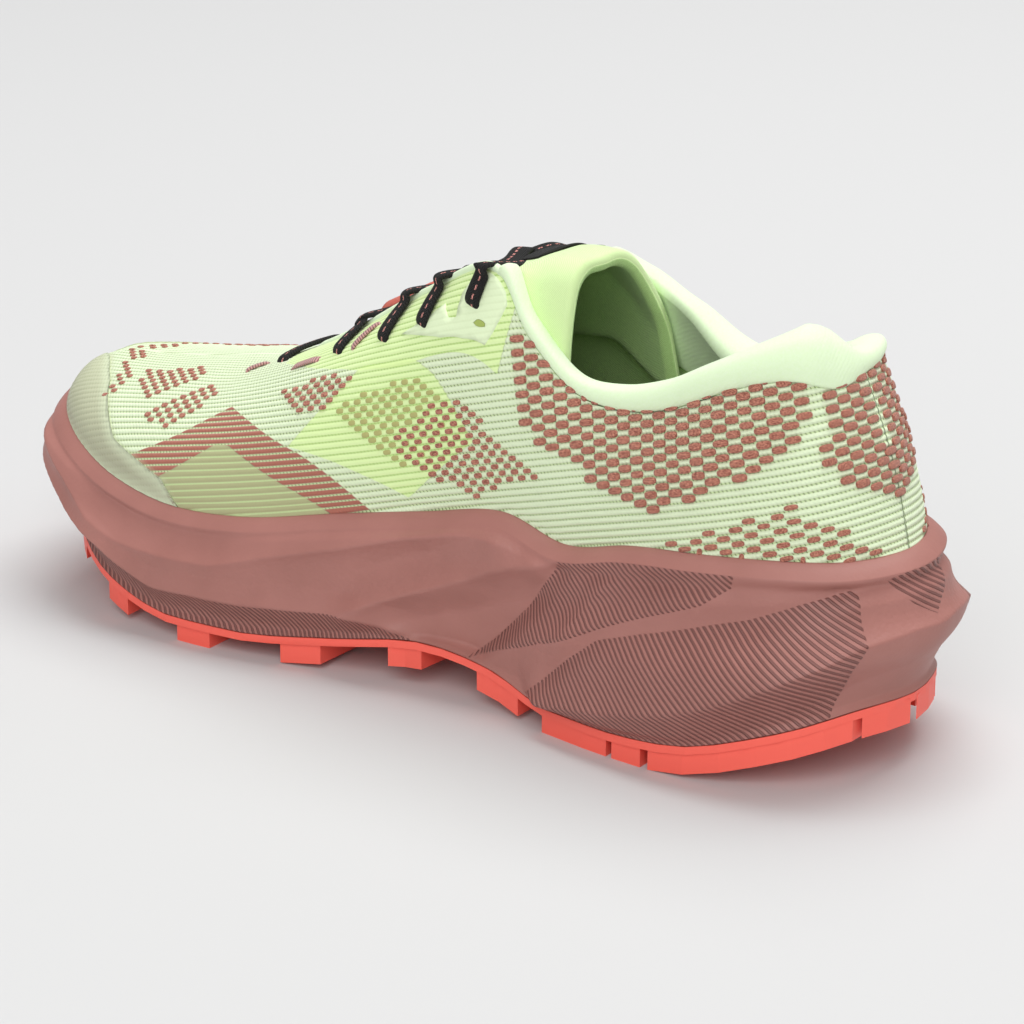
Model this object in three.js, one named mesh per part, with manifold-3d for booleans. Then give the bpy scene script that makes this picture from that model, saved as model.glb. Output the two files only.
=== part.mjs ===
// Trail running shoe, right foot, standing empty on its sole.
// Millimetres, +Z up, +X to the toe, +Y to the inner (medial) side of the foot.
import * as THREE from 'three';
import { mergeVertices } from 'three/addons/utils/BufferGeometryUtils.js';
import Module from 'manifold-3d';

const wasm = await Module();
wasm.setup();

// Driving sizes of the shoe
const soleLength = 306;
const ballWidth = 102;
const heelRim = 61;
const topHeight = 121;
const flare = 12;
const lipDrop = 3.5;

// Walls, depths and clearances
const upperWall = 1.8;
const plateThickness = 2.2;
const lugDepth = 5.8;
const groundCut = 0.8;
const insoleThickness = 4;
const filmThickness = 0.6;
const gap = 0.3;

// Fineness of the faceted forms
const columnsPerSection = 3;
const wallRows = 7;
const rungSteps = 2;

// Reads a table of rows into objects with named columns
function table(names, rows) {
  return rows.map((row) => Object.fromEntries(names.map((name, k) => [name, row[k]])));
}

// Plan of the last at the feather line: shares of sole length and of ball width
const plan = table(['at', 'inner', 'outer'], [
  [0.0392, 0, 0],
  [0.059, 0.176, 0.176],
  [0.101, 0.275, 0.275],
  [0.170, 0.328, 0.328],
  [0.245, 0.338, 0.358],
  [0.317, 0.328, 0.377],
  [0.392, 0.319, 0.407],
  [0.474, 0.338, 0.451],
  [0.562, 0.397, 0.490],
  [0.654, 0.461, 0.510],
  [0.739, 0.490, 0.480],
  [0.817, 0.475, 0.412],
  [0.882, 0.417, 0.335],
  [0.935, 0.314, 0.230],
  [0.964, 0.196, 0.105],
  [0.977, 0.078, -0.078],
]);

// Heights of the sole: shares of the heel rim height, lift is above standing height
const soleHeights = table(
  ['innerRim', 'outerRim', 'innerSeat', 'outerSeat', 'innerLift', 'outerLift'], [
  [1.000, 1.000, 0.755, 0.755, 0.240, 0.240],
  [1.000, 1.000, 0.755, 0.755, 0.225, 0.225],
  [1.000, 1.000, 0.752, 0.752, 0.145, 0.145],
  [0.975, 0.975, 0.745, 0.745, 0.035, 0.035],
  [0.934, 0.930, 0.730, 0.730, 0.000, 0.000],
  [0.852, 0.880, 0.710, 0.710, 0.000, 0.000],
  [0.918, 0.860, 0.680, 0.675, 0.085, 0.020],
  [0.836, 0.810, 0.635, 0.625, 0.120, 0.030],
  [0.754, 0.750, 0.580, 0.575, 0.055, 0.015],
  [0.664, 0.680, 0.540, 0.540, 0.000, 0.000],
  [0.639, 0.650, 0.525, 0.525, 0.000, 0.000],
  [0.689, 0.690, 0.550, 0.550, 0.070, 0.070],
  [0.770, 0.770, 0.600, 0.600, 0.160, 0.160],
  [0.836, 0.836, 0.650, 0.650, 0.245, 0.245],
  [0.869, 0.869, 0.680, 0.680, 0.310, 0.310],
  [0.877, 0.877, 0.695, 0.695, 0.340, 0.340],
]);

// Sole side beyond the feather line: shares of the flare, from ground up to the lip
const soleFlare = table(['low', 'mid', 'high', 'lip'], [
  [0.30, 1.00, 0.62, 0.45],
  [0.35, 1.00, 0.62, 0.45],
  [0.60, 1.00, 0.60, 0.42],
  [0.80, 0.95, 0.55, 0.40],
  [0.80, 0.88, 0.50, 0.40],
  [0.72, 0.75, 0.45, 0.40],
  [0.55, 0.50, 0.35, 0.35],
  [0.50, 0.45, 0.30, 0.33],
  [0.45, 0.50, 0.30, 0.33],
  [0.42, 0.52, 0.30, 0.33],
  [0.40, 0.52, 0.32, 0.33],
  [0.25, 0.52, 0.35, 0.33],
  [0.00, 0.50, 0.38, 0.35],
  [-0.25, 0.50, 0.42, 0.38],
  [-0.45, 0.52, 0.45, 0.40],
  [-0.50, 0.58, 0.50, 0.42],
]);

// Top line of the upper: place as shares of sole length, ball width and top height.
// round is 0 for a straight wall and 1 for a full arch, swell is in shares of the flare.
const topLine = table(
  ['topAt', 'innerTop', 'outerTop', 'innerHeight', 'outerHeight', 'round', 'swell'], [
  [0.092, 0.000, 0.000, 0.885, 0.885, 0.00, 0.16],
  [0.097, 0.090, 0.090, 0.888, 0.885, 0.00, 0.16],
  [0.117, 0.180, 0.180, 0.890, 0.874, 0.00, 0.14],
  [0.170, 0.240, 0.240, 0.842, 0.810, 0.00, 0.15],
  [0.245, 0.255, 0.258, 0.770, 0.765, 0.00, 0.15],
  [0.320, 0.262, 0.268, 0.765, 0.850, 0.05, 0.15],
  [0.378, 0.258, 0.268, 0.860, 0.905, 0.12, 0.15],
  [0.428, 0.225, 0.235, 0.985, 0.935, 0.25, 0.20],
  [0.520, 0.160, 0.160, 0.880, 0.870, 0.40, 0.20],
  [0.625, 0.100, 0.100, 0.725, 0.725, 0.65, 0.10],
  [0.720, 0.000, 0.000, 0.612, 0.612, 1.00, 0.00],
  [0.785, 0.010, -0.010, 0.575, 0.575, 1.00, 0.00],
  [0.840, 0.030, -0.030, 0.550, 0.550, 1.00, 0.00],
  [0.890, 0.050, -0.050, 0.536, 0.536, 1.00, 0.00],
  [0.930, 0.065, -0.065, 0.528, 0.528, 0.95, 0.00],
  [0.955, 0.078, -0.078, 0.500, 0.500, 0.85, 0.00],
]);

const lastRow = plan.length - 1;
const columnCount = lastRow * 2 * columnsPerSection;
const toeColumn = columnCount / 2;
const throatRow = 10;
const throatColumn = throatRow * columnsPerSection;
const cornerRow = 7;
const cornerColumn = cornerRow * columnsPerSection;

// Smooth value between four neighbouring table values
function catmull(a, b, c, d, t) {
  const linear = c - a;
  const square = 2 * a - 5 * b + 4 * c - d;
  const cube = 3 * b - a - 3 * c + d;
  return 0.5 * (2 * b + linear * t + square * t * t + cube * t * t * t);
}

// Value at a loop column, between the rows of a table: the heel is column 0, the inner side
// comes first. read takes a row and the sign of its side, 1 for inner and -1 for outer.
function loopValue(rows, column, read) {
  const wrapped = ((column % columnCount) + columnCount) % columnCount;
  const place = wrapped / columnsPerSection;
  const start = Math.floor(place + 1e-9);
  const pick = (k) => {
    const turn = ((k % (2 * lastRow)) + 2 * lastRow) % (2 * lastRow);
    return turn <= lastRow ? read(rows[turn], 1) : read(rows[2 * lastRow - turn], -1);
  };
  return catmull(pick(start - 1), pick(start), pick(start + 1), pick(start + 2), place - start);
}

// One name reads the same column on both sides, a pair reads inner and outer columns
function along(rows, names, column) {
  const [innerName, outerName = innerName] = [names].flat();
  return loopValue(rows, column, (row, side) => row[side > 0 ? innerName : outerName]);
}

// Signed width: the outer side's values count as negative widths
function acrossAlong(rows, innerName, outerName, column) {
  return loopValue(rows, column, (row, side) => (side > 0 ? row[innerName] : -row[outerName]));
}

// Feather line point at a column, on the ground plane
function featherPoint(column) {
  const x = along(plan, 'at', column) * soleLength;
  const y = acrossAlong(plan, 'inner', 'outer', column) * ballWidth;
  return new THREE.Vector3(x, y, 0);
}

// Outward direction of the feather line, level
function featherOut(column) {
  const ahead = featherPoint(column + 0.25);
  const behind = featherPoint(column - 0.25);
  const run = ahead.sub(behind).normalize();
  return new THREE.Vector3(-run.y, run.x, 0);
}

const rimAt = (column) => along(soleHeights, ['innerRim', 'outerRim'], column) * heelRim;
const seatAt = (column) => along(soleHeights, ['innerSeat', 'outerSeat'], column) * heelRim;
// Lugs reach a little below the ground, which cuts them flat where the shoe stands
const standHeight = plateThickness + lugDepth - groundCut;

// Underside of the midsole at a column
function underAt(column) {
  const lift = along(soleHeights, ['innerLift', 'outerLift'], column);
  return standHeight + Math.max(0, lift) * heelRim;
}

// Feather line point moved outwards and lifted
function offsetPoint(column, outward, height) {
  const point = featherPoint(column).addScaledVector(featherOut(column), outward);
  return point.setZ(height);
}

// One point for every column of the loop
function ring(pointAt) {
  return Array.from({ length: columnCount }, (_, column) => pointAt(column));
}

// Adds a triangle unless two of its corners are the same
function addTriangle(triangles, a, b, c) {
  const tiny = 1e-6;
  if (a.distanceTo(b) < tiny || b.distanceTo(c) < tiny || c.distanceTo(a) < tiny) return;
  triangles.push(a, b, c);
}

// Two triangles between four corners, split from a to c, or from b to d on an inner face
function addQuad(triangles, a, b, c, d, innerFace) {
  if (innerFace) {
    addTriangle(triangles, a, b, d);
    addTriangle(triangles, b, c, d);
  } else {
    addTriangle(triangles, a, b, c);
    addTriangle(triangles, a, c, d);
  }
}

// Band of quads between two rows of points. Inner faces take the other diagonal, so
// that the facets on both sides of a wall or of a gap stay parallel.
function addBand(triangles, lower, upper, { closed = false, innerFace = false } = {}) {
  const count = closed ? lower.length : lower.length - 1;
  for (let k = 0; k < count; k += 1) {
    const next = (k + 1) % lower.length;
    addQuad(triangles, lower[k], lower[next], upper[next], upper[k], innerFace);
  }
}

// Cap over a closed ring: rungs run from the inner to the outer side of the same section
function addLadder(triangles, loop, innerFace) {
  const half = loop.length / 2;
  const rung = (k) => {
    const inner = loop[k];
    const outer = loop[(loop.length - k) % loop.length];
    return Array.from({ length: rungSteps + 1 }, (_, step) => {
      if (step === 0) return inner;
      if (step === rungSteps) return outer;
      return inner.clone().lerp(outer, step / rungSteps);
    });
  };
  const add = innerFace
    ? (a, b, c) => addTriangle(triangles, a, c, b)
    : (a, b, c) => addTriangle(triangles, a, b, c);
  for (let k = 1; k < half - 1; k += 1) {
    const near = rung(k);
    const far = rung(k + 1);
    for (let step = 0; step < rungSteps; step += 1) {
      add(near[step], near[step + 1], far[step + 1]);
      add(near[step], far[step + 1], far[step]);
    }
  }
  const first = rung(1);
  const last = rung(half - 1);
  for (let step = 0; step < rungSteps; step += 1) {
    add(loop[0], first[step + 1], first[step]);
    add(loop[half], last[step], last[step + 1]);
  }
}

// Closed geometry from triangles, with its faces pointing out
function closedGeometry(triangles) {
  let volume = 0;
  for (let k = 0; k < triangles.length; k += 3) {
    const [a, b, c] = [triangles[k], triangles[k + 1], triangles[k + 2]];
    volume += a.dot(new THREE.Vector3().crossVectors(b, c));
  }
  const ordered = volume < 0 ? [...triangles].reverse() : triangles;
  const geometry = new THREE.BufferGeometry().setFromPoints(ordered);
  return mergeVertices(geometry, 1e-4);
}

function material(colour, roughness, metalness = 0) {
  return new THREE.MeshStandardMaterial({ color: colour, roughness, metalness });
}

const foamFinish = material(0x9a6258, 0.6);
const rubberFinish = material(0xf4604a, 0.55);
const knitFinish = material(0xd6efb4, 0.85);
const paddingFinish = material(0xdcf2c0, 0.9);
const filmFinish = material(0xb4bd8c, 0.5);
const eyestayFinish = material(0xd3ef9a, 0.6);
const insoleFinish = material(0x9aa86e, 0.9);
const laceFinish = material(0x1c1a1b, 0.85);
const keeperFinish = material(0xd8705c, 0.8);

const shoe = new THREE.Group();

function addPiece(name, geometry, finish) {
  const mesh = new THREE.Mesh(geometry, finish);
  mesh.name = name;
  shoe.add(mesh);
  return mesh;
}

// Creases and ridges of the sole side: places as shares of sole length and heel rim height
const sideLines = [
  { push: -2.4, reach: 0.16, points: [[0.86, 0.70], [0.78, 0.60], [0.73, 0.51], [0.67, 0.46],
    [0.62, 0.50], [0.55, 0.62], [0.46, 0.78], [0.40, 0.88]] },
  { push: 1.8, reach: 0.15, points: [[0.66, 0.29], [0.52, 0.38], [0.41, 0.62], [0.32, 0.80]] },
  { push: 1.6, reach: 0.12, points: [[0.34, 0.16], [0.29, 0.20], [0.20, 0.28], [0.14, 0.38],
    [0.09, 0.52], [0.04, 0.62]] },
  { push: -2.2, reach: 0.20, points: [[0.46, 0.34], [0.41, 0.40], [0.36, 0.52]] },
];

// Height of a crease at a place along the sole, or null beyond its ends
function lineHeight(points, place) {
  const ordered = [...points].sort((a, b) => a[0] - b[0]);
  for (let k = 0; k < ordered.length - 1; k += 1) {
    const [x0, z0] = ordered[k];
    const [x1, z1] = ordered[k + 1];
    if (place >= x0 && place <= x1) return z0 + ((z1 - z0) * (place - x0)) / (x1 - x0);
  }
  return null;
}

// How far the creases push the sole side out at a place, in millimetres
function sideRelief(x, z) {
  return sideLines.reduce((sum, line) => {
    const height = lineHeight(line.points, x / soleLength);
    if (height === null) return sum;
    const away = Math.abs(z / heelRim - height) / line.reach;
    return sum + line.push * Math.max(0, 1 - away);
  }, 0);
}

// Outward place of the sole side between the ground edge (0) and the lip (1)
function sideOffset(column, share) {
  const value = (name) => along(soleFlare, name, column) * flare;
  const anchors = [[0, value('low')], [0.42, value('mid')], [0.8, value('high')], [1, value('lip')]];
  for (let k = 0; k < anchors.length - 1; k += 1) {
    const [s0, v0] = anchors[k];
    const [s1, v1] = anchors[k + 1];
    if (share <= s1) return THREE.MathUtils.lerp(v0, v1, THREE.MathUtils.smoothstep(share, s0, s1));
  }
  return value('lip');
}

function soleSidePoint(column, share) {
  const height = THREE.MathUtils.lerp(underAt(column) + gap, rimAt(column) - lipDrop, share);
  const plain = featherPoint(column);
  const inside = Math.sin(Math.PI * share);
  const relief = sideRelief(plain.x, height) * Math.min(1, 2 * inside);
  return offsetPoint(column, sideOffset(column, share) + relief, height);
}

// Sculpted foam with a cup rim round the foot
function midsoleGeometry() {
  const triangles = [];
  const shares = [0, 0.14, 0.28, 0.42, 0.56, 0.7, 0.85, 1];
  const side = shares.map((share) => ring((column) => soleSidePoint(column, share)));
  const lipEdge = ring((column) => offsetPoint(column, gap, rimAt(column)));
  const cupFloor = ring((column) => offsetPoint(column, gap, seatAt(column)));
  const rings = [...side, lipEdge, cupFloor];
  for (let k = 0; k < rings.length - 1; k += 1) {
    addBand(triangles, rings[k], rings[k + 1], { closed: true });
  }
  addLadder(triangles, side[0], false);
  addLadder(triangles, cupFloor, true);
  return closedGeometry(triangles);
}

// Underside of the rubber plate: place runs along the sections, share across from inner
function plateUnderPoint(place, share, drop) {
  const column = place * columnsPerSection;
  const edge = (c) => offsetPoint(c, along(soleFlare, 'low', c) * flare, underAt(c));
  const point = edge(column).lerp(edge(columnCount - column), share);
  const height = point.z - plateThickness - drop;
  return point.setZ(drop > 0 ? Math.max(0, height) : height);
}

function plateGeometry() {
  const triangles = [];
  const edge = (drop) => ring((column) => {
    const low = along(soleFlare, 'low', column) * flare;
    return offsetPoint(column, low, underAt(column) - drop);
  });
  const top = edge(0);
  const bottom = edge(plateThickness);
  addBand(triangles, bottom, top, { closed: true });
  addLadder(triangles, bottom, false);
  addLadder(triangles, top, true);
  return closedGeometry(triangles);
}

// Lug on an outline of [place, share] corners, from inside the plate down to its tip
function lugGeometry(corners) {
  const triangles = [];
  const top = corners.map(([place, share]) => plateUnderPoint(place, share, -plateThickness / 2));
  const tip = corners.map(([place, share]) => plateUnderPoint(place, share, lugDepth));
  addBand(triangles, tip, top, { closed: true });
  const last = corners.length - 1;
  for (let k = 0; k < (corners.length - 2) / 2; k += 1) {
    addQuad(triangles, top[k], top[k + 1], top[last - k - 1], top[last - k]);
    addQuad(triangles, tip[last - k], tip[last - k - 1], tip[k + 1], tip[k], true);
  }
  return closedGeometry(triangles);
}

// Lugs along the edge, on both sides: first and last place, and depth across
const edgeLugs = table(['from', 'to', 'depth'], [
  [0.08, 0.84, 0.26],
  [0.98, 3.46, 0.24],
  [3.56, 3.96, 0.18],
  [4.04, 5.08, 0.20],
  [5.50, 6.18, 0.18],
  [6.95, 7.37, 0.18],
  [8.14, 8.58, 0.18],
  [9.42, 9.86, 0.17],
  [10.70, 11.14, 0.17],
  [12.12, 12.66, 0.18],
  [13.50, 14.60, 0.24],
]);

// Arrow shaped lugs inside the edge: middle place and share across
const innerLugs = table(['place', 'share'], [
  [1.9, 0.5], [2.8, 0.5], [3.7, 0.5], [4.6, 0.5],
  [5.6, 0.5], [6.6, 0.5],
  [7.5, 0.35], [7.5, 0.65],
  [8.3, 0.35], [8.3, 0.65],
  [9.1, 0.28], [9.1, 0.5], [9.1, 0.72],
  [9.9, 0.28], [9.9, 0.5], [9.9, 0.72],
  [10.7, 0.28], [10.7, 0.5], [10.7, 0.72],
  [11.6, 0.34], [11.6, 0.66],
  [12.7, 0.5],
]);
const arrowLength = 0.2;
const arrowReach = 0.065;
const arrowSweep = 0.16;

const lugBevel = 0.06;
const lugSetBack = 0.008;

function edgeLugCorners({ from, to, depth }, mirrored) {
  const across = (share) => (mirrored ? 1 - share : share);
  const steps = Math.ceil((to - from) * columnsPerSection * 0.8);
  const places = Array.from({ length: steps + 1 }, (_, k) => from + ((to - from) * k) / steps);
  const flank = places.map((place) => [place, across(lugSetBack)]);
  const inside = places.map((place, k) => {
    const shift = k === 0 ? lugBevel : k === steps ? -lugBevel : 0;
    return [place + shift, across(depth)];
  });
  return [...flank, ...inside.reverse()];
}

function arrowCorners({ place, share }) {
  return [
    [place - arrowLength, share - arrowReach],
    [place - arrowLength + arrowSweep, share],
    [place - arrowLength, share + arrowReach],
    [place + arrowLength - arrowSweep, share + arrowReach],
    [place + arrowLength, share],
    [place + arrowLength - arrowSweep, share - arrowReach],
  ];
}

function toManifold(geometry) {
  const vertProperties = Float32Array.from(geometry.attributes.position.array);
  const triVerts = Uint32Array.from(geometry.index.array);
  return new wasm.Manifold(new wasm.Mesh({ numProp: 3, vertProperties, triVerts }));
}

function fromManifold(solid) {
  const { vertProperties, triVerts, numProp } = solid.getMesh();
  const positions = new Float32Array((vertProperties.length / numProp) * 3);
  for (let k = 0; k < positions.length / 3; k += 1) {
    for (let axis = 0; axis < 3; axis += 1) {
      positions[3 * k + axis] = vertProperties[numProp * k + axis];
    }
  }
  const geometry = new THREE.BufferGeometry();
  geometry.setAttribute('position', new THREE.BufferAttribute(positions, 3));
  geometry.setIndex(new THREE.BufferAttribute(Uint32Array.from(triVerts), 1));
  return geometry;
}

// Rubber plate with its lugs moulded on
function outsoleGeometry() {
  const edge = edgeLugs.flatMap((lug) => [edgeLugCorners(lug, false), edgeLugCorners(lug, true)]);
  const arrows = innerLugs.map(arrowCorners);
  return fromManifold([...edge, ...arrows].reduce(
    (solid, corners) => solid.add(toManifold(lugGeometry(corners))),
    toManifold(plateGeometry()),
  ));
}

// Top edge of the upper. In front of the throat both sides meet on one spine.
function topPoint(column) {
  const read = (c) => new THREE.Vector3(
    along(topLine, 'topAt', c) * soleLength,
    acrossAlong(topLine, 'innerTop', 'outerTop', c) * ballWidth,
    along(topLine, ['innerHeight', 'outerHeight'], c) * topHeight,
  );
  const isClosed = column >= throatColumn && column <= columnCount - throatColumn;
  return isClosed ? read(column).lerp(read(columnCount - column), 0.5) : read(column);
}

// Outer face of the upper: share 0 at the sole rim, 1 at its top edge.
// Past the spine the face goes on over the other side.
function upperPoint(column, share) {
  if (share > 1) return upperPoint(columnCount - column, 2 - share);
  const foot = featherPoint(column).setZ(rimAt(column));
  const top = topPoint(column);
  const round = THREE.MathUtils.clamp(along(topLine, 'round', column), 0, 1);
  const angle = (share * Math.PI) / 2;
  const across = THREE.MathUtils.lerp(share, 1 - Math.cos(angle), round);
  const up = THREE.MathUtils.lerp(share, Math.sin(angle), round);
  const swell = along(topLine, 'swell', column) * flare * Math.sin(Math.PI * share);
  return new THREE.Vector3(
    THREE.MathUtils.lerp(foot.x, top.x, across),
    THREE.MathUtils.lerp(foot.y, top.y, across),
    THREE.MathUtils.lerp(foot.z, top.z, up),
  ).addScaledVector(featherOut(column), swell);
}

const isClosedColumn = (column) => (
  column >= throatColumn && column <= columnCount - throatColumn
);

// Outward direction of the upper's face, seen from one side of the spine
function sideNormal(column, share) {
  const step = 0.02;
  const level = Math.min(share, 0.94);
  const above = isClosedColumn(column) ? share + step : Math.min(1, share + step);
  const run = upperPoint(column + 0.5, level).sub(upperPoint(column - 0.5, level));
  const rise = upperPoint(column, above).sub(upperPoint(column, Math.max(0, share - step)));
  return rise.cross(run).normalize();
}

// Outward direction of the upper's face, the same from both sides on the spine
function upperNormal(column, share) {
  const normal = sideNormal(column, share);
  if (share === 1 && isClosedColumn(column)) {
    return normal.add(sideNormal(columnCount - column, 1)).normalize();
  }
  return normal;
}

function insetPoint(column, share, inset) {
  return upperPoint(column, share).addScaledVector(upperNormal(column, share), -inset);
}

// Knit shell with its real wall, open at the collar, along the throat and underneath
function upperGeometry() {
  const triangles = [];
  const shares = Array.from({ length: wallRows + 1 }, (_, k) => k / wallRows);
  // Columns past the toe share the spine points of the inner side
  const spineColumn = (column, share) => (
    share === 1 && isClosedColumn(column) && column > toeColumn ? columnCount - column : column
  );
  const face = (inset) => {
    const hem = ring((column) => {
      const side = insetPoint(column, 0, inset);
      return side.setZ(seatAt(column) + gap);
    });
    const rows = shares.map((share) => ring((column) => {
      const source = spineColumn(column, share);
      return insetPoint(source, share, inset);
    }));
    return [hem, ...rows];
  };
  const outer = face(0);
  const inner = face(upperWall);
  const last = outer.length - 1;
  for (let k = 0; k < last; k += 1) {
    addBand(triangles, outer[k], outer[k + 1], { closed: true });
    addBand(triangles, inner[k + 1], inner[k], { closed: true, innerFace: true });
  }
  addBand(triangles, inner[0], outer[0], { closed: true });
  const open = Array.from({ length: 2 * throatColumn + 1 }, (_, k) => (
    (columnCount - throatColumn + k) % columnCount
  ));
  addBand(triangles, open.map((k) => outer[last][k]), open.map((k) => inner[last][k]));
  return closedGeometry(triangles);
}

// Closed body from rows of points, each row a closed section, with flat fans at both ends
function sweptGeometry(sections) {
  const triangles = [];
  for (let k = 0; k < sections.length - 1; k += 1) {
    addBand(triangles, sections[k], sections[k + 1], { closed: true });
  }
  const start = sections[0];
  const end = sections[sections.length - 1];
  const ends = THREE.ShapeUtils.triangulateShape(flatten(start), []);
  ends.forEach(([a, b, c]) => addTriangle(triangles, start[a], start[c], start[b]));
  ends.forEach(([a, b, c]) => addTriangle(triangles, end[a], end[b], end[c]));
  return closedGeometry(triangles);
}

// Outline of a section in its own plane, turning left
function flatten(section) {
  const middle = section.reduce((sum, p) => sum.add(p), new THREE.Vector3());
  middle.divideScalar(section.length);
  const normal = new THREE.Vector3();
  section.forEach((p, k) => {
    const next = section[(k + 1) % section.length];
    normal.add(p.clone().sub(middle).cross(next.clone().sub(middle)));
  });
  normal.normalize();
  const right = section[0].clone().sub(middle).normalize();
  const up = normal.clone().cross(right);
  return section.map((p) => {
    const offset = p.clone().sub(middle);
    return new THREE.Vector2(offset.dot(right), offset.dot(up));
  });
}

// Padded collar: a roll on the top edge and a lining pad inside the wall
const padThickness = 7;
const rollHeight = 11;
const padAtCorner = 2.4;
const padFadeStart = 3.4 * columnsPerSection;
const padFadeEnd = 5.4 * columnsPerSection;
const rollOutline = [
  [0.05, 0.00], [0.26, 0.25], [0.20, 0.58], [-0.12, 0.86],
  [-0.60, 1.00], [-1.10, 0.92], [-1.35, 0.60], [-1.30, 0.25],
];

function padAt(column) {
  const wrapped = Math.min(column, columnCount - column);
  const share = THREE.MathUtils.smoothstep(wrapped, padFadeStart, padFadeEnd);
  return THREE.MathUtils.lerp(padThickness, padAtCorner, share);
}

function collarSection(column) {
  const edge = upperPoint(column, 1);
  const outward = upperNormal(column, 1);
  const up = edge.clone().sub(upperPoint(column, 1 - 1 / wallRows)).normalize();
  const pad = padAt(column);
  const height = THREE.MathUtils.lerp(rollHeight * 0.45, rollHeight,
    (pad - padAtCorner) / (padThickness - padAtCorner));
  const liner = upperWall + gap;
  const roll = rollOutline.map(([out, rise]) => {
    const reach = out > 0 ? out * pad : out * pad - liner * Math.min(1, -2 * out);
    return edge.clone().addScaledVector(outward, reach).addScaledVector(up, gap + rise * height);
  });
  const rows = [1, 2, 3].map((k) => 1 - k / wallRows);
  const padShape = [1, 0.75, 0.25];
  const inside = rows.map((share, k) => insetPoint(column, share, liner + pad * padShape[k]));
  const outside = rows.map((share) => insetPoint(column, share, liner)).reverse();
  const shoulder = insetPoint(column, 1, liner).addScaledVector(up, gap);
  return [...roll, ...inside, ...outside, shoulder];
}

function collarGeometry() {
  const columns = Array.from({ length: 2 * cornerColumn + 1 }, (_, k) => (
    (columnCount - cornerColumn + k) % columnCount
  ));
  return sweptGeometry(columns.map(collarSection));
}

// Loose footbed inside the upper
function insoleGeometry() {
  const triangles = [];
  const inset = upperWall + 2 * gap;
  const bottom = ring((column) => offsetPoint(column, -inset, seatAt(column) + gap));
  const top = ring((column) => (
    offsetPoint(column, -inset - gap, seatAt(column) + gap + insoleThickness)
  ));
  addBand(triangles, bottom, top, { closed: true });
  addLadder(triangles, bottom, false);
  addLadder(triangles, top, true);
  return closedGeometry(triangles);
}

// Tongue: an arch inside the throat, its crown above the top edge behind the laces
const tongueThickness = 3.2;
const tongueCrown = table(['place', 'height', 'fullness'], [
  [5.4, 0.985, 5.0],
  [6.0, 1.000, 4.5],
  [6.6, 1.000, 4.0],
  [7.2, 0.975, 3.0],
  [8.0, 0.875, 2.0],
  [9.0, 0.735, 2.0],
  [10.0, 0.600, 2.0],
  [11.0, 0.560, 2.0],
]);
const tongueStations = [5.4, 5.7, ...columnRange(18, 31).map((c) => c / columnsPerSection)];

function crownValue(name, place) {
  const next = Math.max(1, tongueCrown.findIndex((row) => row.place >= place));
  const above = tongueCrown[next];
  const below = tongueCrown[next - 1];
  const share = (place - below.place) / (above.place - below.place);
  return THREE.MathUtils.lerp(below[name], above[name], share);
}

function tongueInset(column) {
  const liner = upperWall + 2 * gap;
  const pad = 1.4 * padAt(column) + 2 * gap;
  const share = THREE.MathUtils.smoothstep(column, cornerColumn, cornerColumn + columnsPerSection);
  return THREE.MathUtils.lerp(liner + pad, liner, share);
}

// Point on the tongue's arch between its legs: share 0 at the inner leg, 1 at the outer
function tongueArchPoint(place, share, depth) {
  const column = place * columnsPerSection;
  const inset = tongueInset(column) + depth;
  const inner = insetPoint(column, 1, inset);
  const outer = insetPoint(columnCount - column, 1, inset);
  const base = inner.lerp(outer, share);
  const crown = crownValue('height', place) * topHeight;
  const rise = Math.max(0, crown - depth - base.z);
  const arch = 1 - Math.abs(2 * share - 1) ** crownValue('fullness', place);
  return base.setZ(base.z + (place < throatRow ? rise * arch : 0));
}

function tongueRow(place, depth) {
  const column = place * columnsPerSection;
  const inset = tongueInset(column) + depth;
  const legRows = [3, 2, 1].map((k) => 1 - k / wallRows);
  const innerLeg = legRows.map((share) => insetPoint(column, share, inset));
  const outerLeg = legRows.map((share) => insetPoint(columnCount - column, share, inset));
  const arch = [0, 0.06, 0.16, 0.32, 0.5, 0.68, 0.84, 0.94, 1];
  return [
    ...innerLeg,
    ...arch.map((share) => tongueArchPoint(place, share, depth)),
    ...outerLeg.reverse(),
  ];
}

// Closed slab between two grids of points, its outer and its inner face
function slabGeometry(outer, inner) {
  const triangles = [];
  const last = outer.length - 1;
  for (let k = 0; k < last; k += 1) {
    addBand(triangles, outer[k], outer[k + 1]);
    addBand(triangles, inner[k + 1], inner[k], { innerFace: true });
  }
  addBand(triangles, inner[0], outer[0]);
  addBand(triangles, outer[last], inner[last]);
  const edge = (grid, k) => grid.map((row) => row[k]);
  const lastPoint = outer[0].length - 1;
  addBand(triangles, edge(outer, 0), edge(inner, 0));
  addBand(triangles, edge(inner, lastPoint), edge(outer, lastPoint));
  return closedGeometry(triangles);
}

function tongueGeometry() {
  const face = (depth) => tongueStations.map((place) => tongueRow(place, depth));
  return slabGeometry(face(0), face(tongueThickness));
}

// Thin film over part of the upper, cut between two larger forms of its own face
function filmGeometry(columns, shares) {
  const face = (inset) => shares.map((share) => (
    columns.map((column) => insetPoint(column, share(column), inset))
  ));
  return slabGeometry(face(-gap - filmThickness), face(-gap));
}

function columnRange(first, last) {
  return Array.from({ length: last - first + 1 }, (_, k) => first + k);
}

// Toe guard: highest at the toe, running out along both sides
const guardColumns = 15;
const guardTop = 0.5;

function toeGuardGeometry() {
  const reach = (column) => {
    const away = Math.abs(column - toeColumn) / guardColumns;
    return THREE.MathUtils.lerp(guardTop, 0.2, away * away);
  };
  const lowest = 0.05;
  const shares = [0, 0.25, 0.5, 0.75, 1].map((step) => (
    (column) => THREE.MathUtils.lerp(lowest, reach(column), step)
  ));
  return filmGeometry(columnRange(toeColumn - guardColumns, toeColumn + guardColumns), shares);
}

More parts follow.
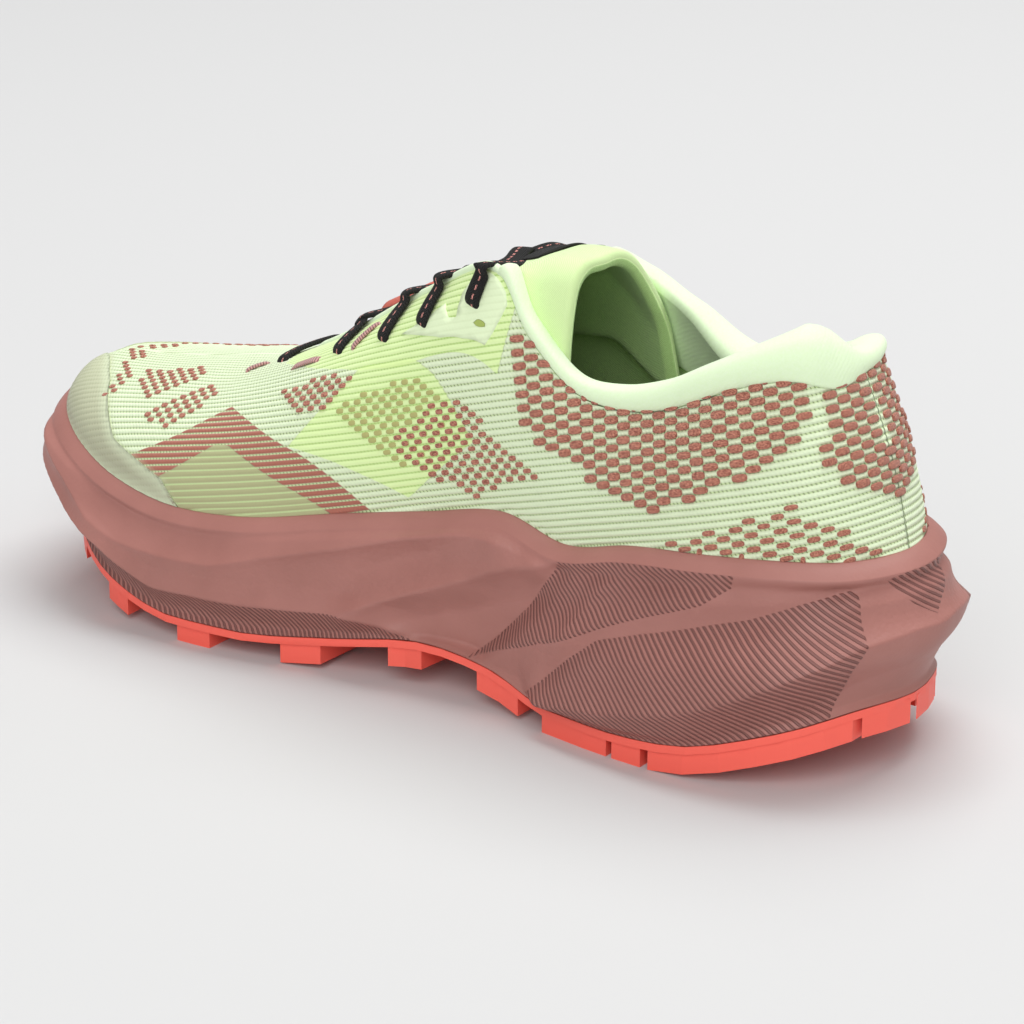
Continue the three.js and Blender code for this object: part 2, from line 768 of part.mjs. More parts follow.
// Eyestay: a film strip beside the throat
const eyestayBottom = 0.76;
const eyestayTop = 0.985;

function eyestayGeometry(mirrored) {
  const shares = [0, 0.5, 1].map((step) => (
    () => THREE.MathUtils.lerp(eyestayBottom, eyestayTop, step)
  ));
  const range = columnRange(cornerColumn + 1, throatColumn - 2);
  const columns = mirrored ? range.map((column) => columnCount - column).reverse() : range;
  return filmGeometry(columns, shares);
}

// Flat lace
const laceWidth = 4.6;
const laceThickness = 1.6;
const eyeletPlaces = [7.35, 8.0, 8.7, 9.4];
const eyeletShare = 0.87;
const laceClearance = 1.3;
const laceLift = filmThickness + 3 * gap + laceThickness / 2;

// Ribbon of a flat oval section along points with their own up directions
function ribbonGeometry(points, ups) {
  const outline = [[1, 0], [0.7, 1], [-0.7, 1], [-1, 0], [-0.7, -1], [0.7, -1]];
  return sweptGeometry(points.map((point, k) => {
    const ahead = points[Math.min(points.length - 1, k + 1)];
    const behind = points[Math.max(0, k - 1)];
    const run = ahead.clone().sub(behind).normalize();
    const across = run.clone().cross(ups[k]).normalize();
    const up = across.clone().cross(run).normalize();
    return outline.map(([side, rise]) => point.clone()
      .addScaledVector(across, (side * laceWidth) / 2)
      .addScaledVector(up, (rise * laceThickness) / 2));
  }));
}

// Run from an eyelet over the throat's edge and the tongue, towards the next eyelet behind.
// It ends short of the far edge, under which the real lace goes on.
function laceRun(from, to, mirrored) {
  const side = (column) => (mirrored ? columnCount - column : column);
  const column = side(from * columnsPerSection);
  const points = [];
  const ups = [];
  const onUpper = [eyeletShare, 0.94, 1];
  onUpper.forEach((share) => {
    const up = upperNormal(column, share);
    points.push(upperPoint(column, share).addScaledVector(up, laceLift));
    ups.push(up);
  });
  const steps = [0.2, 0.36, 0.5, 0.64, 0.78, 0.88];
  steps.forEach((share) => {
    const place = THREE.MathUtils.lerp(from, to, share);
    const across = mirrored ? 1 - share : share;
    const up = new THREE.Vector3(0, 0, 1);
    points.push(tongueArchPoint(place, across, 0)
      .addScaledVector(up, laceThickness / 2 + laceClearance));
    ups.push(up);
  });
  return ribbonGeometry(points, ups);
}

// Straight bar across the front of the throat
const barPlace = 9.85;
const barLift = gap + laceThickness / 2;

function laceBarGeometry() {
  const shares = [eyeletShare, 0.94, 1];
  const column = barPlace * columnsPerSection;
  const stops = [
    ...shares.map((share) => [column, share]),
    ...shares.map((share) => [columnCount - column, share]).reverse(),
  ];
  const ups = stops.map(([at, share]) => upperNormal(at, share));
  const points = stops.map(([at, share], k) => (
    upperPoint(at, share).addScaledVector(ups[k], barLift)
  ));
  return ribbonGeometry(points, ups);
}

// Small woven trim lying on the tongue
function tongueTrimGeometry({ from, to, half }, thickness) {
  const places = [0, 0.5, 1].map((step) => THREE.MathUtils.lerp(from, to, step));
  const shares = [-1, -0.5, 0, 0.5, 1].map((step) => 0.5 + step * half);
  const face = (depth) => places.map((place) => (
    shares.map((share) => tongueArchPoint(place, share, depth))
  ));
  return slabGeometry(face(-gap - thickness), face(-gap));
}

const tongueBand = { from: 6.72, to: 7.12, half: 0.26 };
const tongueBandThickness = 0.8;
const laceKeeper = { from: 8.52, to: 8.79, half: 0.1 };
const laceKeeperThickness = 1.4;

function laceCrossingGeometry(from, to) {
  const runs = [false, true].map((mirrored) => toManifold(laceRun(from, to, mirrored)));
  return fromManifold(runs[0].add(runs[1]));
}

addPiece('midsole', midsoleGeometry(), foamFinish);
addPiece('outsole', outsoleGeometry(), rubberFinish);
addPiece('upper', upperGeometry(), knitFinish);
addPiece('collar', collarGeometry(), paddingFinish);
addPiece('insole', insoleGeometry(), insoleFinish);
addPiece('tongue', tongueGeometry(), paddingFinish);
addPiece('toe_guard', toeGuardGeometry(), filmFinish);
addPiece('eyestay_inner', eyestayGeometry(false), eyestayFinish);
addPiece('eyestay_outer', eyestayGeometry(true), eyestayFinish);
for (let k = 1; k < eyeletPlaces.length; k += 1) {
  const geometry = laceCrossingGeometry(eyeletPlaces[k], eyeletPlaces[k - 1]);
  addPiece(`lace_crossing_${k}`, geometry, laceFinish);
}

addPiece('lace_bar', laceBarGeometry(), laceFinish);
addPiece('tongue_band', tongueTrimGeometry(tongueBand, tongueBandThickness), laceFinish);
addPiece('lace_keeper', tongueTrimGeometry(laceKeeper, laceKeeperThickness), keeperFinish);

// The origin is under the middle of the sole, on the ground
const middle = new THREE.Box3().setFromObject(shoe).getCenter(new THREE.Vector3());
shoe.position.set(-middle.x, -middle.y, 0);

export default shoe;
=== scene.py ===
"""Looks of a trail running shoe, right foot, standing empty on its sole.

The upper, sole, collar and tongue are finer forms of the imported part's own solids, worked out
from the same driving sizes and tables. Points are in millimetres from the back of the heel.
"""
import math
import bpy
import numpy as np
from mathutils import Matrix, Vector
from mathutils.geometry import delaunay_2d_cdt


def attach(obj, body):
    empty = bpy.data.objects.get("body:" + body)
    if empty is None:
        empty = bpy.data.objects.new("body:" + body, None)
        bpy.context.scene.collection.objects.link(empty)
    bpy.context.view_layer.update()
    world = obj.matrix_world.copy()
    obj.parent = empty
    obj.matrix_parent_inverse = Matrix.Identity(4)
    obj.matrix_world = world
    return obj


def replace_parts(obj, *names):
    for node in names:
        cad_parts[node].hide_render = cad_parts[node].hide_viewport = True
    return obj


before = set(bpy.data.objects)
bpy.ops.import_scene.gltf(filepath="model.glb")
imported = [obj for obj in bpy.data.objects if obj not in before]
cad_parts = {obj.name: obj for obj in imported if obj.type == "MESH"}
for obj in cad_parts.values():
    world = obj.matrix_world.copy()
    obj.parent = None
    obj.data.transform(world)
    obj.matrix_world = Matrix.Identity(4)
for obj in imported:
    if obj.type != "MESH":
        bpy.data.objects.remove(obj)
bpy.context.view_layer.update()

# Driving sizes of the shoe, in millimetres from the back of the heel
SOLE_LENGTH = 306
BALL_WIDTH = 102
HEEL_RIM = 61
TOP_HEIGHT = 121
FLARE = 12
LIP_DROP = 3.5
UPPER_WALL = 1.8
GAP = 0.3
ORIGIN = (-152.868, 1.579, 0)
MM = 0.001


def table(names, rows):
    """Columns of a table by their names."""
    return {name: np.array([row[k] for row in rows], float) for k, name in enumerate(names)}


# Plan of the last at the feather line: shares of sole length and of ball width
PLAN = table(("at", "inner", "outer"), (
    (0.0392, 0, 0), (0.059, 0.176, 0.176), (0.101, 0.275, 0.275), (0.170, 0.328, 0.328),
    (0.245, 0.338, 0.358), (0.317, 0.328, 0.377), (0.392, 0.319, 0.407), (0.474, 0.338, 0.451),
    (0.562, 0.397, 0.490), (0.654, 0.461, 0.510), (0.739, 0.490, 0.480), (0.817, 0.475, 0.412),
    (0.882, 0.417, 0.335), (0.935, 0.314, 0.230), (0.964, 0.196, 0.105), (0.977, 0.078, -0.078),
))

# Heights of the sole: shares of the heel rim height, lift is above the standing height
HEIGHTS = table(("inner_rim", "outer_rim", "inner_seat", "outer_seat", "inner_lift", "outer_lift"), (
    (1.000, 1.000, 0.755, 0.755, 0.240, 0.240),
    (1.000, 1.000, 0.755, 0.755, 0.225, 0.225),
    (1.000, 1.000, 0.752, 0.752, 0.145, 0.145),
    (0.975, 0.975, 0.745, 0.745, 0.035, 0.035),
    (0.934, 0.930, 0.730, 0.730, 0.000, 0.000),
    (0.852, 0.880, 0.710, 0.710, 0.000, 0.000),
    (0.918, 0.860, 0.680, 0.675, 0.085, 0.020),
    (0.836, 0.810, 0.635, 0.625, 0.120, 0.030),
    (0.754, 0.750, 0.580, 0.575, 0.055, 0.015),
    (0.664, 0.680, 0.540, 0.540, 0.000, 0.000),
    (0.639, 0.650, 0.525, 0.525, 0.000, 0.000),
    (0.689, 0.690, 0.550, 0.550, 0.070, 0.070),
    (0.770, 0.770, 0.600, 0.600, 0.160, 0.160),
    (0.836, 0.836, 0.650, 0.650, 0.245, 0.245),
    (0.869, 0.869, 0.680, 0.680, 0.310, 0.310),
    (0.877, 0.877, 0.695, 0.695, 0.340, 0.340),
))

# Sole side beyond the feather line: shares of the flare, from the ground up to the lip
SIDE = table(("low", "mid", "high", "lip"), (
    (0.30, 1.00, 0.62, 0.45), (0.35, 1.00, 0.62, 0.45), (0.60, 1.00, 0.60, 0.42),
    (0.80, 0.95, 0.55, 0.40), (0.80, 0.88, 0.50, 0.40), (0.72, 0.75, 0.45, 0.40),
    (0.55, 0.50, 0.35, 0.35), (0.50, 0.45, 0.30, 0.33), (0.45, 0.50, 0.30, 0.33),
    (0.42, 0.52, 0.30, 0.33), (0.40, 0.52, 0.32, 0.33), (0.25, 0.52, 0.35, 0.33),
    (0.00, 0.50, 0.38, 0.35), (-0.25, 0.50, 0.42, 0.38), (-0.45, 0.52, 0.45, 0.40),
    (-0.50, 0.58, 0.50, 0.42),
))

# Top edge of the upper: round is 0 for a straight wall and 1 for a full arch
TOP = table(("at", "inner", "outer", "inner_height", "outer_height", "round", "swell"), (
    (0.092, 0.000, 0.000, 0.885, 0.885, 0.00, 0.16),
    (0.097, 0.090, 0.090, 0.888, 0.885, 0.00, 0.16),
    (0.117, 0.180, 0.180, 0.890, 0.874, 0.00, 0.14),
    (0.170, 0.240, 0.240, 0.842, 0.810, 0.00, 0.15),
    (0.245, 0.255, 0.258, 0.770, 0.765, 0.00, 0.15),
    (0.320, 0.262, 0.268, 0.765, 0.850, 0.05, 0.15),
    (0.378, 0.258, 0.268, 0.860, 0.905, 0.12, 0.15),
    (0.428, 0.225, 0.235, 0.985, 0.935, 0.25, 0.20),
    (0.520, 0.160, 0.160, 0.880, 0.870, 0.40, 0.20),
    (0.625, 0.100, 0.100, 0.725, 0.725, 0.65, 0.10),
    (0.720, 0.000, 0.000, 0.612, 0.612, 1.00, 0.00),
    (0.785, 0.010, -0.010, 0.575, 0.575, 1.00, 0.00),
    (0.840, 0.030, -0.030, 0.550, 0.550, 1.00, 0.00),
    (0.890, 0.050, -0.050, 0.536, 0.536, 1.00, 0.00),
    (0.930, 0.065, -0.065, 0.528, 0.528, 0.95, 0.00),
    (0.955, 0.078, -0.078, 0.500, 0.500, 0.85, 0.00),
))
LAST = len(PLAN["at"]) - 1
LOOP = 2 * LAST
# Loop places where the throat's opening ends in front and where its rear corner is
THROAT = 10
CORNER = 7
TINY = 1e-6


def curve_between(a, b, c, d, t):
    """Smooth curve from b (t = 0) to c (t = 1), with the neighbours a and d."""
    return b + 0.5 * t * (c - a + t * (2 * a - 5 * b + 4 * c - d + t * (3 * b - a - 3 * c + d)))


def loop_value(inner, outer, place):
    """Smooth value at a loop place: the heel is 0, the inner side comes first, the toe is LAST."""
    ring = np.concatenate((inner, outer[LAST - 1:0:-1]))
    place = np.mod(place, LOOP)
    start = np.floor(place + 1e-9).astype(int)
    a, b, c, d = (ring[np.mod(start + k, LOOP)] for k in (-1, 0, 1, 2))
    return curve_between(a, b, c, d, place - start)


def both(rows, name, place):
    return loop_value(rows[name], rows[name], place)


def sides(rows, name, place):
    return loop_value(rows["inner_" + name], rows["outer_" + name], place)


def feather(place):
    """Feather line on the ground plane, and its outward direction."""
    def at(p):
        return np.stack((both(PLAN, "at", p) * SOLE_LENGTH,
                         loop_value(PLAN["inner"], -PLAN["outer"], p) * BALL_WIDTH,
                         np.zeros_like(p)), -1)
    run = at(place + 0.08) - at(place - 0.08)
    run /= np.linalg.norm(run, axis=-1, keepdims=True)
    return at(place), np.stack((-run[..., 1], run[..., 0], np.zeros_like(place)), -1)


def rim(place):
    return sides(HEIGHTS, "rim", place) * HEEL_RIM


def mix(a, b, t):
    return a + (b - a) * t


def is_closed(place):
    """Whether the upper's two sides meet at a place, in front of the throat."""
    return np.abs(np.mod(place, LOOP) - LAST) <= LAST - THROAT + TINY


def top_edge(place):
    """Top edge of the upper. In front of the throat both sides meet on one spine."""
    def at(p):
        return np.stack((both(TOP, "at", p) * SOLE_LENGTH,
                         loop_value(TOP["inner"], -TOP["outer"], p) * BALL_WIDTH,
                         sides(TOP, "height", p) * TOP_HEIGHT), -1)
    return np.where(is_closed(place)[..., None], 0.5 * (at(place) + at(-place)), at(place))


def upper_point(place, share):
    """Outer face of the upper: share 0 at the sole rim, 1 at its top edge, on past the spine."""
    place, share = np.broadcast_arrays(np.asarray(place, float), np.asarray(share, float))
    over = share > 1
    place = np.where(over, -place, place)
    share = np.where(over, 2 - share, share)
    foot, out = feather(place)
    foot[..., 2] = rim(place)
    top = top_edge(place)
    bend = np.clip(both(TOP, "round", place), 0, 1)
    angle = share * math.pi / 2
    across = mix(share, 1 - np.cos(angle), bend)
    up = mix(share, np.sin(angle), bend)
    weights = np.stack((across, across, up), -1)
    swell = both(TOP, "swell", place) * FLARE * np.sin(math.pi * share)
    return mix(foot, top, weights) + out * swell[..., None]


PLATE = 2.2
LUG_DEPTH = 5.8
GROUND_CUT = 0.8
STAND = PLATE + LUG_DEPTH - GROUND_CUT


def under(place):
    """Underside of the foam."""
    return STAND + np.maximum(0, sides(HEIGHTS, "lift", place)) * HEEL_RIM


def smooth(t):
    t = np.clip(t, 0, 1)
    return t * t * (3 - 2 * t)


def side_flare(place, share):
    """Outward place of the foam's side between the ground edge (0) and the lip (1)."""
    low, mid, high, lip = (both(SIDE, name, place) * FLARE for name in ("low", "mid", "high", "lip"))
    lower = mix(low, mid, smooth(share / 0.42))
    upper = mix(mid, high, smooth((share - 0.42) / 0.38))
    top = mix(high, lip, smooth((share - 0.8) / 0.2))
    return np.where(share < 0.42, lower, np.where(share < 0.8, upper, top))


def side_point(place, share, push=0.0):
    place, share = np.broadcast_arrays(np.asarray(place, float), np.asarray(share, float))
    point, out = feather(place)
    point = point + out * (side_flare(place, share) + push)[..., None]
    point[..., 2] = mix(under(place) + GAP, rim(place) - LIP_DROP, share)
    return point


def brim(place):
    """Share at which the upper ends under the collar's roll."""
    return 1 - 0.055 * np.exp(-((mirrored(place) - 4.2) / 1.3) ** 2)


# Mesh building

def unit(vectors):
    return vectors / np.maximum(np.linalg.norm(vectors, axis=-1, keepdims=True), 1e-12)


def grid_quads(rows, columns, closed, first=0):
    """Quads of a grid of points stored row by row, closed in the column direction if asked."""
    row = np.arange(rows - 1)[:, None] * columns
    column = np.arange(columns if closed else columns - 1)[None, :]
    after = (column + 1) % columns
    corners = (row + column, row + after, row + columns + after, row + columns + column)
    return np.stack(corners, -1).reshape(-1, 4) + first


def enclosed(points, quads):
    """Signed volume inside quads, above zero if they face out."""
    a, b, c, d = (points[quads[:, k]] for k in range(4))
    return np.sum(np.cross(b - a, c - a) * a) + np.sum(np.cross(c - a, d - a) * a)


def add_object(name, points, faces, finish_used, slot):
    """Object from points in millimetres, riding on the shoe."""
    mesh = bpy.data.meshes.new(name)
    places = (np.asarray(points) + ORIGIN) * MM
    mesh.from_pydata(places.tolist(), [], [list(map(int, face)) for face in faces])
    mesh.materials.append(finish_used)
    mesh.polygons.foreach_set("use_smooth", np.full(len(mesh.polygons), True))
    made = bpy.data.objects.new(name, mesh)
    bpy.context.scene.collection.objects.link(made)
    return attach(made, "root")


def add_uv(obj, name, values):
    """UV map from one pair of values for every vertex."""
    mesh = obj.data
    corner = np.empty(len(mesh.loops), np.int32)
    mesh.loops.foreach_get("vertex_index", corner)
    layer = mesh.uv_layers.new(name=name)
    layer.data.foreach_set("uv", np.asarray(values, np.float32)[corner].ravel())


def add_value(obj, name, values):
    layer = obj.data.attributes.new(name, "FLOAT", "POINT")
    layer.data.foreach_set("value", np.asarray(values, np.float32).ravel())


def distance_along(points):
    """Length of a line from its first point to each of its points."""
    return np.concatenate(([0], np.cumsum(np.linalg.norm(np.diff(points, axis=0), axis=1))))


def even_places(count):
    """Loop places spread evenly along the feather line, mirrored from side to side."""
    fine = np.linspace(0, LAST, 1501)
    run = distance_along(feather(fine)[0])
    half = np.interp(np.linspace(0, run[-1], count // 2 + 1), run, fine)
    return np.concatenate((half, LOOP - half[-2:0:-1]))


# Names of the two sides, and whether a side mirrors the inner one
BOTH_SIDES = (("inner", False), ("outer", True))


def mirrored(place):
    """Loop place of the inner side that matches a place of either side."""
    place = np.mod(place, LOOP)
    return np.minimum(place, LOOP - place)


def inside(points, polygon):
    """Which points lie in a polygon."""
    x, y = points[..., 0], points[..., 1]
    found = np.zeros(x.shape, bool)
    for (x0, y0), (x1, y1) in zip(polygon, np.roll(polygon, -1, axis=0)):
        rising = (y0 > y) != (y1 > y)
        with np.errstate(divide="ignore", invalid="ignore"):
            found ^= rising & (x < (x1 - x0) * (y - y0) / (y1 - y0) + x0)
    return found


def signed_distance(points, polygon):
    """Distance to a polygon's edge, above zero inside."""
    polygon = np.asarray(polygon, float)
    nearest = np.full(points.shape[:-1], np.inf)
    for start, end in zip(polygon, np.roll(polygon, -1, axis=0)):
        edge = end - start
        share = np.clip(((points - start) @ edge) / (edge @ edge), 0, 1)
        nearest = np.minimum(nearest, np.linalg.norm(points - start - share[..., None] * edge, axis=-1))
    return np.where(inside(points, polygon), nearest, -nearest)


# Panels of the upper, as [place, share] corners of the inner side
CHART = np.array((22.0, 75.0))
PANELS = {
    "olive": ((10.35, 0.10), (9.62, 0.325), (9.45, 0.318), (7.95, -0.03), (9.9, -0.03)),
    "diamond": ((8.72, 0.30), (8.25, 0.62), (7.6, 0.60), (7.25, 0.52), (6.5, 0.30), (7.22, 0.05)),
    "throat": ((9.6, 0.80), (8.25, 0.60), (7.7, 0.575), (6.35, 0.655), (6.38, 1.02), (9.9, 1.02)),
    "stripes": ((10.85, 0.17), (10.2, 0.37), (9.72, 0.52), (9.4, 0.45), (8.55, 0.255), (7.5, -0.03),
                (8.1, -0.03), (9.45, 0.318), (9.62, 0.325), (10.35, 0.10)),
    "toe": ((16, 0.80), (13.6, 0.74), (12.4, 0.55), (11.75, 0.38), (11.2, 0.22), (10.6, 0.165),
            (10.2, 0.12), (9.92, -0.03), (16, -0.03)),
}
FLOAT_ZONES = (
    ((6.3, 0.90), (6.12, 0.74), (5.95, 0.54), (5.77, 0.515), (5.13, 0.56), (4.43, 0.42), (3.93, 0.215),
     (3.54, 0.30), (2.95, 0.39), (2.38, 0.51), (1.99, 0.60), (1.86, 0.70), (1.70, 0.76), (1.5, 1.1),
     (5.4, 1.1)),
    ((1.5, 1.1), (1.28, 0.81), (1.23, 0.70), (1.58, 0.60), (1.5, 0.52), (0.74, 0.395), (0.1, 0.24),
     (0, 0.24), (0, 1.1)),
)
HEEL_DOTS = ((3.55, 0.03), (2.6, 0.22), (1.99, 0.32), (1.32, 0.22), (0.45, 0.03), (0.45, -0.02),
             (3.6, -0.02))
MID_DOTS = (
    ((7.15, 0.40), (6.85, 0.45), (6.1, 0.36), (5.15, 0.36), (5.6, 0.27), (6.3, 0.05), (7.2, 0.15),
     (7.6, 0.28)),
    ((9.25, 0.58), (8.75, 0.63), (8.3, 0.59), (8.3, 0.50), (8.6, 0.42)),
)
FILMED_DOTS = (
    ((8.35, 0.46), (7.5, 0.52), (6.85, 0.40), (7.2, 0.16), (7.6, 0.20), (8.1, 0.33)),
)
TOE_DOTS = (
    ((11.8, 0.58), (12.05, 0.71), (11.1, 0.81), (10.7, 0.70), (11.25, 0.50)),
    ((10.98, 0.40), (10.5, 0.67), (10.1, 0.62), (10.45, 0.36)),
    ((13.15, 0.76), (14.0, 0.93), (13.2, 0.96), (12.7, 0.86)),
    ((12.45, 0.60), (13.0, 0.72), (12.8, 0.76), (12.2, 0.66), (11.9, 0.44), (12.1, 0.42)),
)

# The knit's courses: slope of the ribs and their pitch
RIB_SLOPE = 0.295
RIB_PITCH = 1.85
FLOAT_PITCH = 3.85
SOLE_RIB_PITCH = 1.42
FIELD_COLUMNS = 76
FIELD_ROWS = 19


def upper_normal(place, share):
    """Outward direction of the upper's face."""
    level = np.clip(share, 0.01, 0.98)
    ahead, behind = upper_point(place + 0.05, level), upper_point(place - 0.05, level)
    above, below = upper_point(place, level + 0.01), upper_point(place, level - 0.01)
    return unit(np.cross(above - below, ahead - behind))


def knit_field():
    """Millimetres along the ribs and across them on a coarse grid of the inner side."""
    place = np.linspace(0, LAST, FIELD_COLUMNS)[:, None]
    share = np.linspace(0, 1, FIELD_ROWS)[None, :]
    point = upper_point(place, share)
    normal = unit(np.cross(np.gradient(point, axis=1), np.gradient(point, axis=0)))
    _, out = feather(np.broadcast_to(place, (FIELD_COLUMNS, FIELD_ROWS)))
    round_heel = np.stack((-out[..., 1], out[..., 0], np.zeros_like(out[..., 0])), -1)
    lead = mix(round_heel, np.array((-1.0, 0, 0)), smooth((place - 3) / 3)[..., None])
    lead[..., 2] = RIB_SLOPE * np.abs(lead[..., 0])
    along = unit(lead - np.sum(lead * normal, -1, keepdims=True) * normal)
    across = np.cross(normal, along)
    index = np.arange(FIELD_COLUMNS * FIELD_ROWS).reshape(FIELD_COLUMNS, FIELD_ROWS)
    system = np.zeros((index.size, index.size))
    wanted = np.zeros((index.size, 2))
    for near, far in ((np.s_[:-1, :], np.s_[1:, :]), (np.s_[:, :-1], np.s_[:, 1:])):
        step = point[far] - point[near]
        weight = (1 / np.maximum(np.linalg.norm(step, axis=-1), 0.3)).ravel()
        a, b = index[near].ravel(), index[far].ravel()
        for pair in ((a, a), (b, b)):
            np.add.at(system, pair, weight)
        for pair in ((a, b), (b, a)):
            np.add.at(system, pair, -weight)
        for k, direction in enumerate((along, across)):
            rise = (np.sum(0.5 * (direction[far] + direction[near]) * step, -1)).ravel() * weight
            np.add.at(wanted[:, k], b, rise)
            np.add.at(wanted[:, k], a, -rise)
    system[0, 0] += 1
    return np.linalg.solve(system, wanted).reshape(FIELD_COLUMNS, FIELD_ROWS, 2)


def cubic(values, place):
    """Smooth reading of rows of values at a fractional row."""
    last = len(values) - 1
    start = np.clip(np.floor(place).astype(int), 0, last - 1)
    near = [values[np.clip(start + k, 0, last)] for k in (-1, 0, 1, 2)]
    return curve_between(*near, (place - start)[..., None])


KNIT = knit_field()


def knit_at(place, share):
    """Millimetres along and across the ribs at places of either side."""
    place, share = np.broadcast_arrays(mirrored(place), np.where(share > 1, 2 - share, share))
    flat = place.ravel() / LAST * (FIELD_COLUMNS - 1)
    rows = np.clip(share.ravel(), 0, 1) * (FIELD_ROWS - 1)
    start = np.clip(np.floor(rows).astype(int), 0, FIELD_ROWS - 2)
    base = np.clip(np.floor(flat).astype(int), 0, FIELD_COLUMNS - 2)
    read = []
    for k in (-1, 0, 1, 2):
        level = np.clip(start + k, 0, FIELD_ROWS - 1)
        near = [KNIT[np.clip(base + j, 0, FIELD_COLUMNS - 1), level] for j in (-1, 0, 1, 2)]
        read.append(curve_between(*near, (flat - base)[:, None]))
    return curve_between(*read, (rows - start)[:, None]).reshape(place.shape + (2,))


def chart_of(place, share):
    place, share = np.broadcast_arrays(mirrored(place), share)
    return np.stack((place, share), -1) * CHART


# Shader building

class Graph:
    """Short calls for building a node tree."""

    def __init__(self, tree):
        self.tree = tree

    def feed(self, made, key, value):
        """Links an input of a node if the value is a socket, or sets it."""
        if isinstance(value, bpy.types.NodeSocket):
            self.tree.links.new(value, made.inputs[key])
        else:
            made.inputs[key].default_value = value

    def node(self, kind, inputs=(), **settings):
        made = self.tree.nodes.new(kind)
        for name, value in settings.items():
            setattr(made, name, value)
        for key, value in dict(inputs).items():
            self.feed(made, key, value)
        return made

    def math(self, operation, *values, clamp=False):
        return self.node("ShaderNodeMath", enumerate(values), operation=operation, use_clamp=clamp).outputs[0]

    def attribute(self, name):
        return self.node("ShaderNodeAttribute", attribute_name=name).outputs["Fac"]

    def blend(self, share, first, second):
        inputs = {"Factor": share, 6: first, 7: second}
        return self.node("ShaderNodeMix", inputs, data_type="RGBA").outputs[2]

    def lerp(self, share, first, second):
        return self.node("ShaderNodeMix", {0: share, 2: first, 3: second}, data_type="FLOAT").outputs[0]

    def ramp(self, value, low, high, kind="SMOOTHSTEP"):
        """0 at low and 1 at high, eased between them unless the kind is linear."""
        return self.node("ShaderNodeMapRange", {"Value": value, "From Min": low, "From Max": high},
                         interpolation_type=kind).outputs[0]

    def wave(self, value):
        """Size of a sine that comes back to 0 at every whole value."""
        return self.math("ABSOLUTE", self.math("SINE", self.math("MULTIPLY", value, math.pi)))

    def noise(self, vector, scale, detail=2.0, roughness=0.5):
        return self.node("ShaderNodeTexNoise", {"Vector": vector, "Scale": scale, "Detail": detail,
                                                "Roughness": roughness}).outputs[0]

    def call(self, group, **inputs):
        made = self.tree.nodes.new("ShaderNodeGroup")
        made.node_tree = group
        for name, value in inputs.items():
            self.feed(made, name, value)
        return made.outputs


def srgb(red, green, blue):
    """Linear colour with alpha from 0 to 255 display values."""
    def linear(v):
        v /= 255
        return v / 12.92 if v <= 0.04045 else ((v + 0.055) / 1.055) ** 2.4
    return (linear(red), linear(green), linear(blue), 1.0)


def shader_group(name, inputs, outputs, build):
    """Shader node group with named inputs and outputs. build fills it and returns its results."""
    tree = bpy.data.node_groups.new(name, "ShaderNodeTree")
    for label, kind, start in inputs:
        socket = tree.interface.new_socket(label, in_out="INPUT", socket_type=kind)
        if start is not None:
            socket.default_value = start
    for label, kind in outputs:
        tree.interface.new_socket(label, in_out="OUTPUT", socket_type=kind)
    graph = Graph(tree)
    source = tree.nodes.new("NodeGroupInput")
    results = build(graph, source.outputs)
    target = tree.nodes.new("NodeGroupOutput")
    for (label, _), result in zip(outputs, results):
        tree.links.new(result, target.inputs[label])
    return tree


NUMBER = "NodeSocketFloat"
VECTOR = "NodeSocketVector"


def build_edge(graph, given):
    """1 where a signed distance is above zero, with a soft edge."""
    low = graph.math("MULTIPLY", given["Width"], -1.0)
    return (graph.ramp(given["Distance"], low, given["Width"]),)


def build_ribs(graph, given):
    """Knitted cords: their round height, the groove between them and the twist along them."""
    parts = graph.node("ShaderNodeSeparateXYZ", {0: given["Place"]}).outputs
    turn = graph.math("DIVIDE", parts[1], given["Pitch"])
    swing = graph.wave(turn)
    groove = graph.ramp(swing, 0.80, 1.0)
    lean = graph.math("ADD", graph.math("SUBTRACT", turn, graph.math("ROUND", turn)),
                      graph.math("DIVIDE", parts[0], given["Stitch"]))
    twist = graph.wave(lean)
    hole = graph.math("MULTIPLY", groove, graph.ramp(twist, 0.55, 0.15))
    round_height = graph.math("SUBTRACT", 1.0, graph.math("POWER", swing, 3.0))
    height = graph.math("MULTIPLY_ADD", twist, 0.35, round_height)
    return groove, hole, height, twist


def build_side_ribs(graph, given):
    """Moulded grooves at a phase in millimetres, where a mask lets them be."""
    wave = graph.math("FRACT", graph.math("DIVIDE", given["Phase"], given["Pitch"]))
    away = graph.math("ABSOLUTE", graph.math("SUBTRACT", wave, 0.5))
    cut = graph.math("MULTIPLY", graph.ramp(away, 0.30, 0.12), given["Mask"])
    return cut, graph.math("SUBTRACT", 1.0, cut)


def build_grain(graph, given):
    """Leather-like moulded grain."""
    cells = graph.node("ShaderNodeTexVoronoi", {"Vector": given["Place"], "Scale": given["Scale"],
                                                "Randomness": 1.0}, feature="SMOOTH_F1").outputs[0]
    fine = graph.noise(given["Place"], given["Scale"], 4.0)
    return (graph.math("MULTIPLY_ADD", fine, 0.7, cells),)


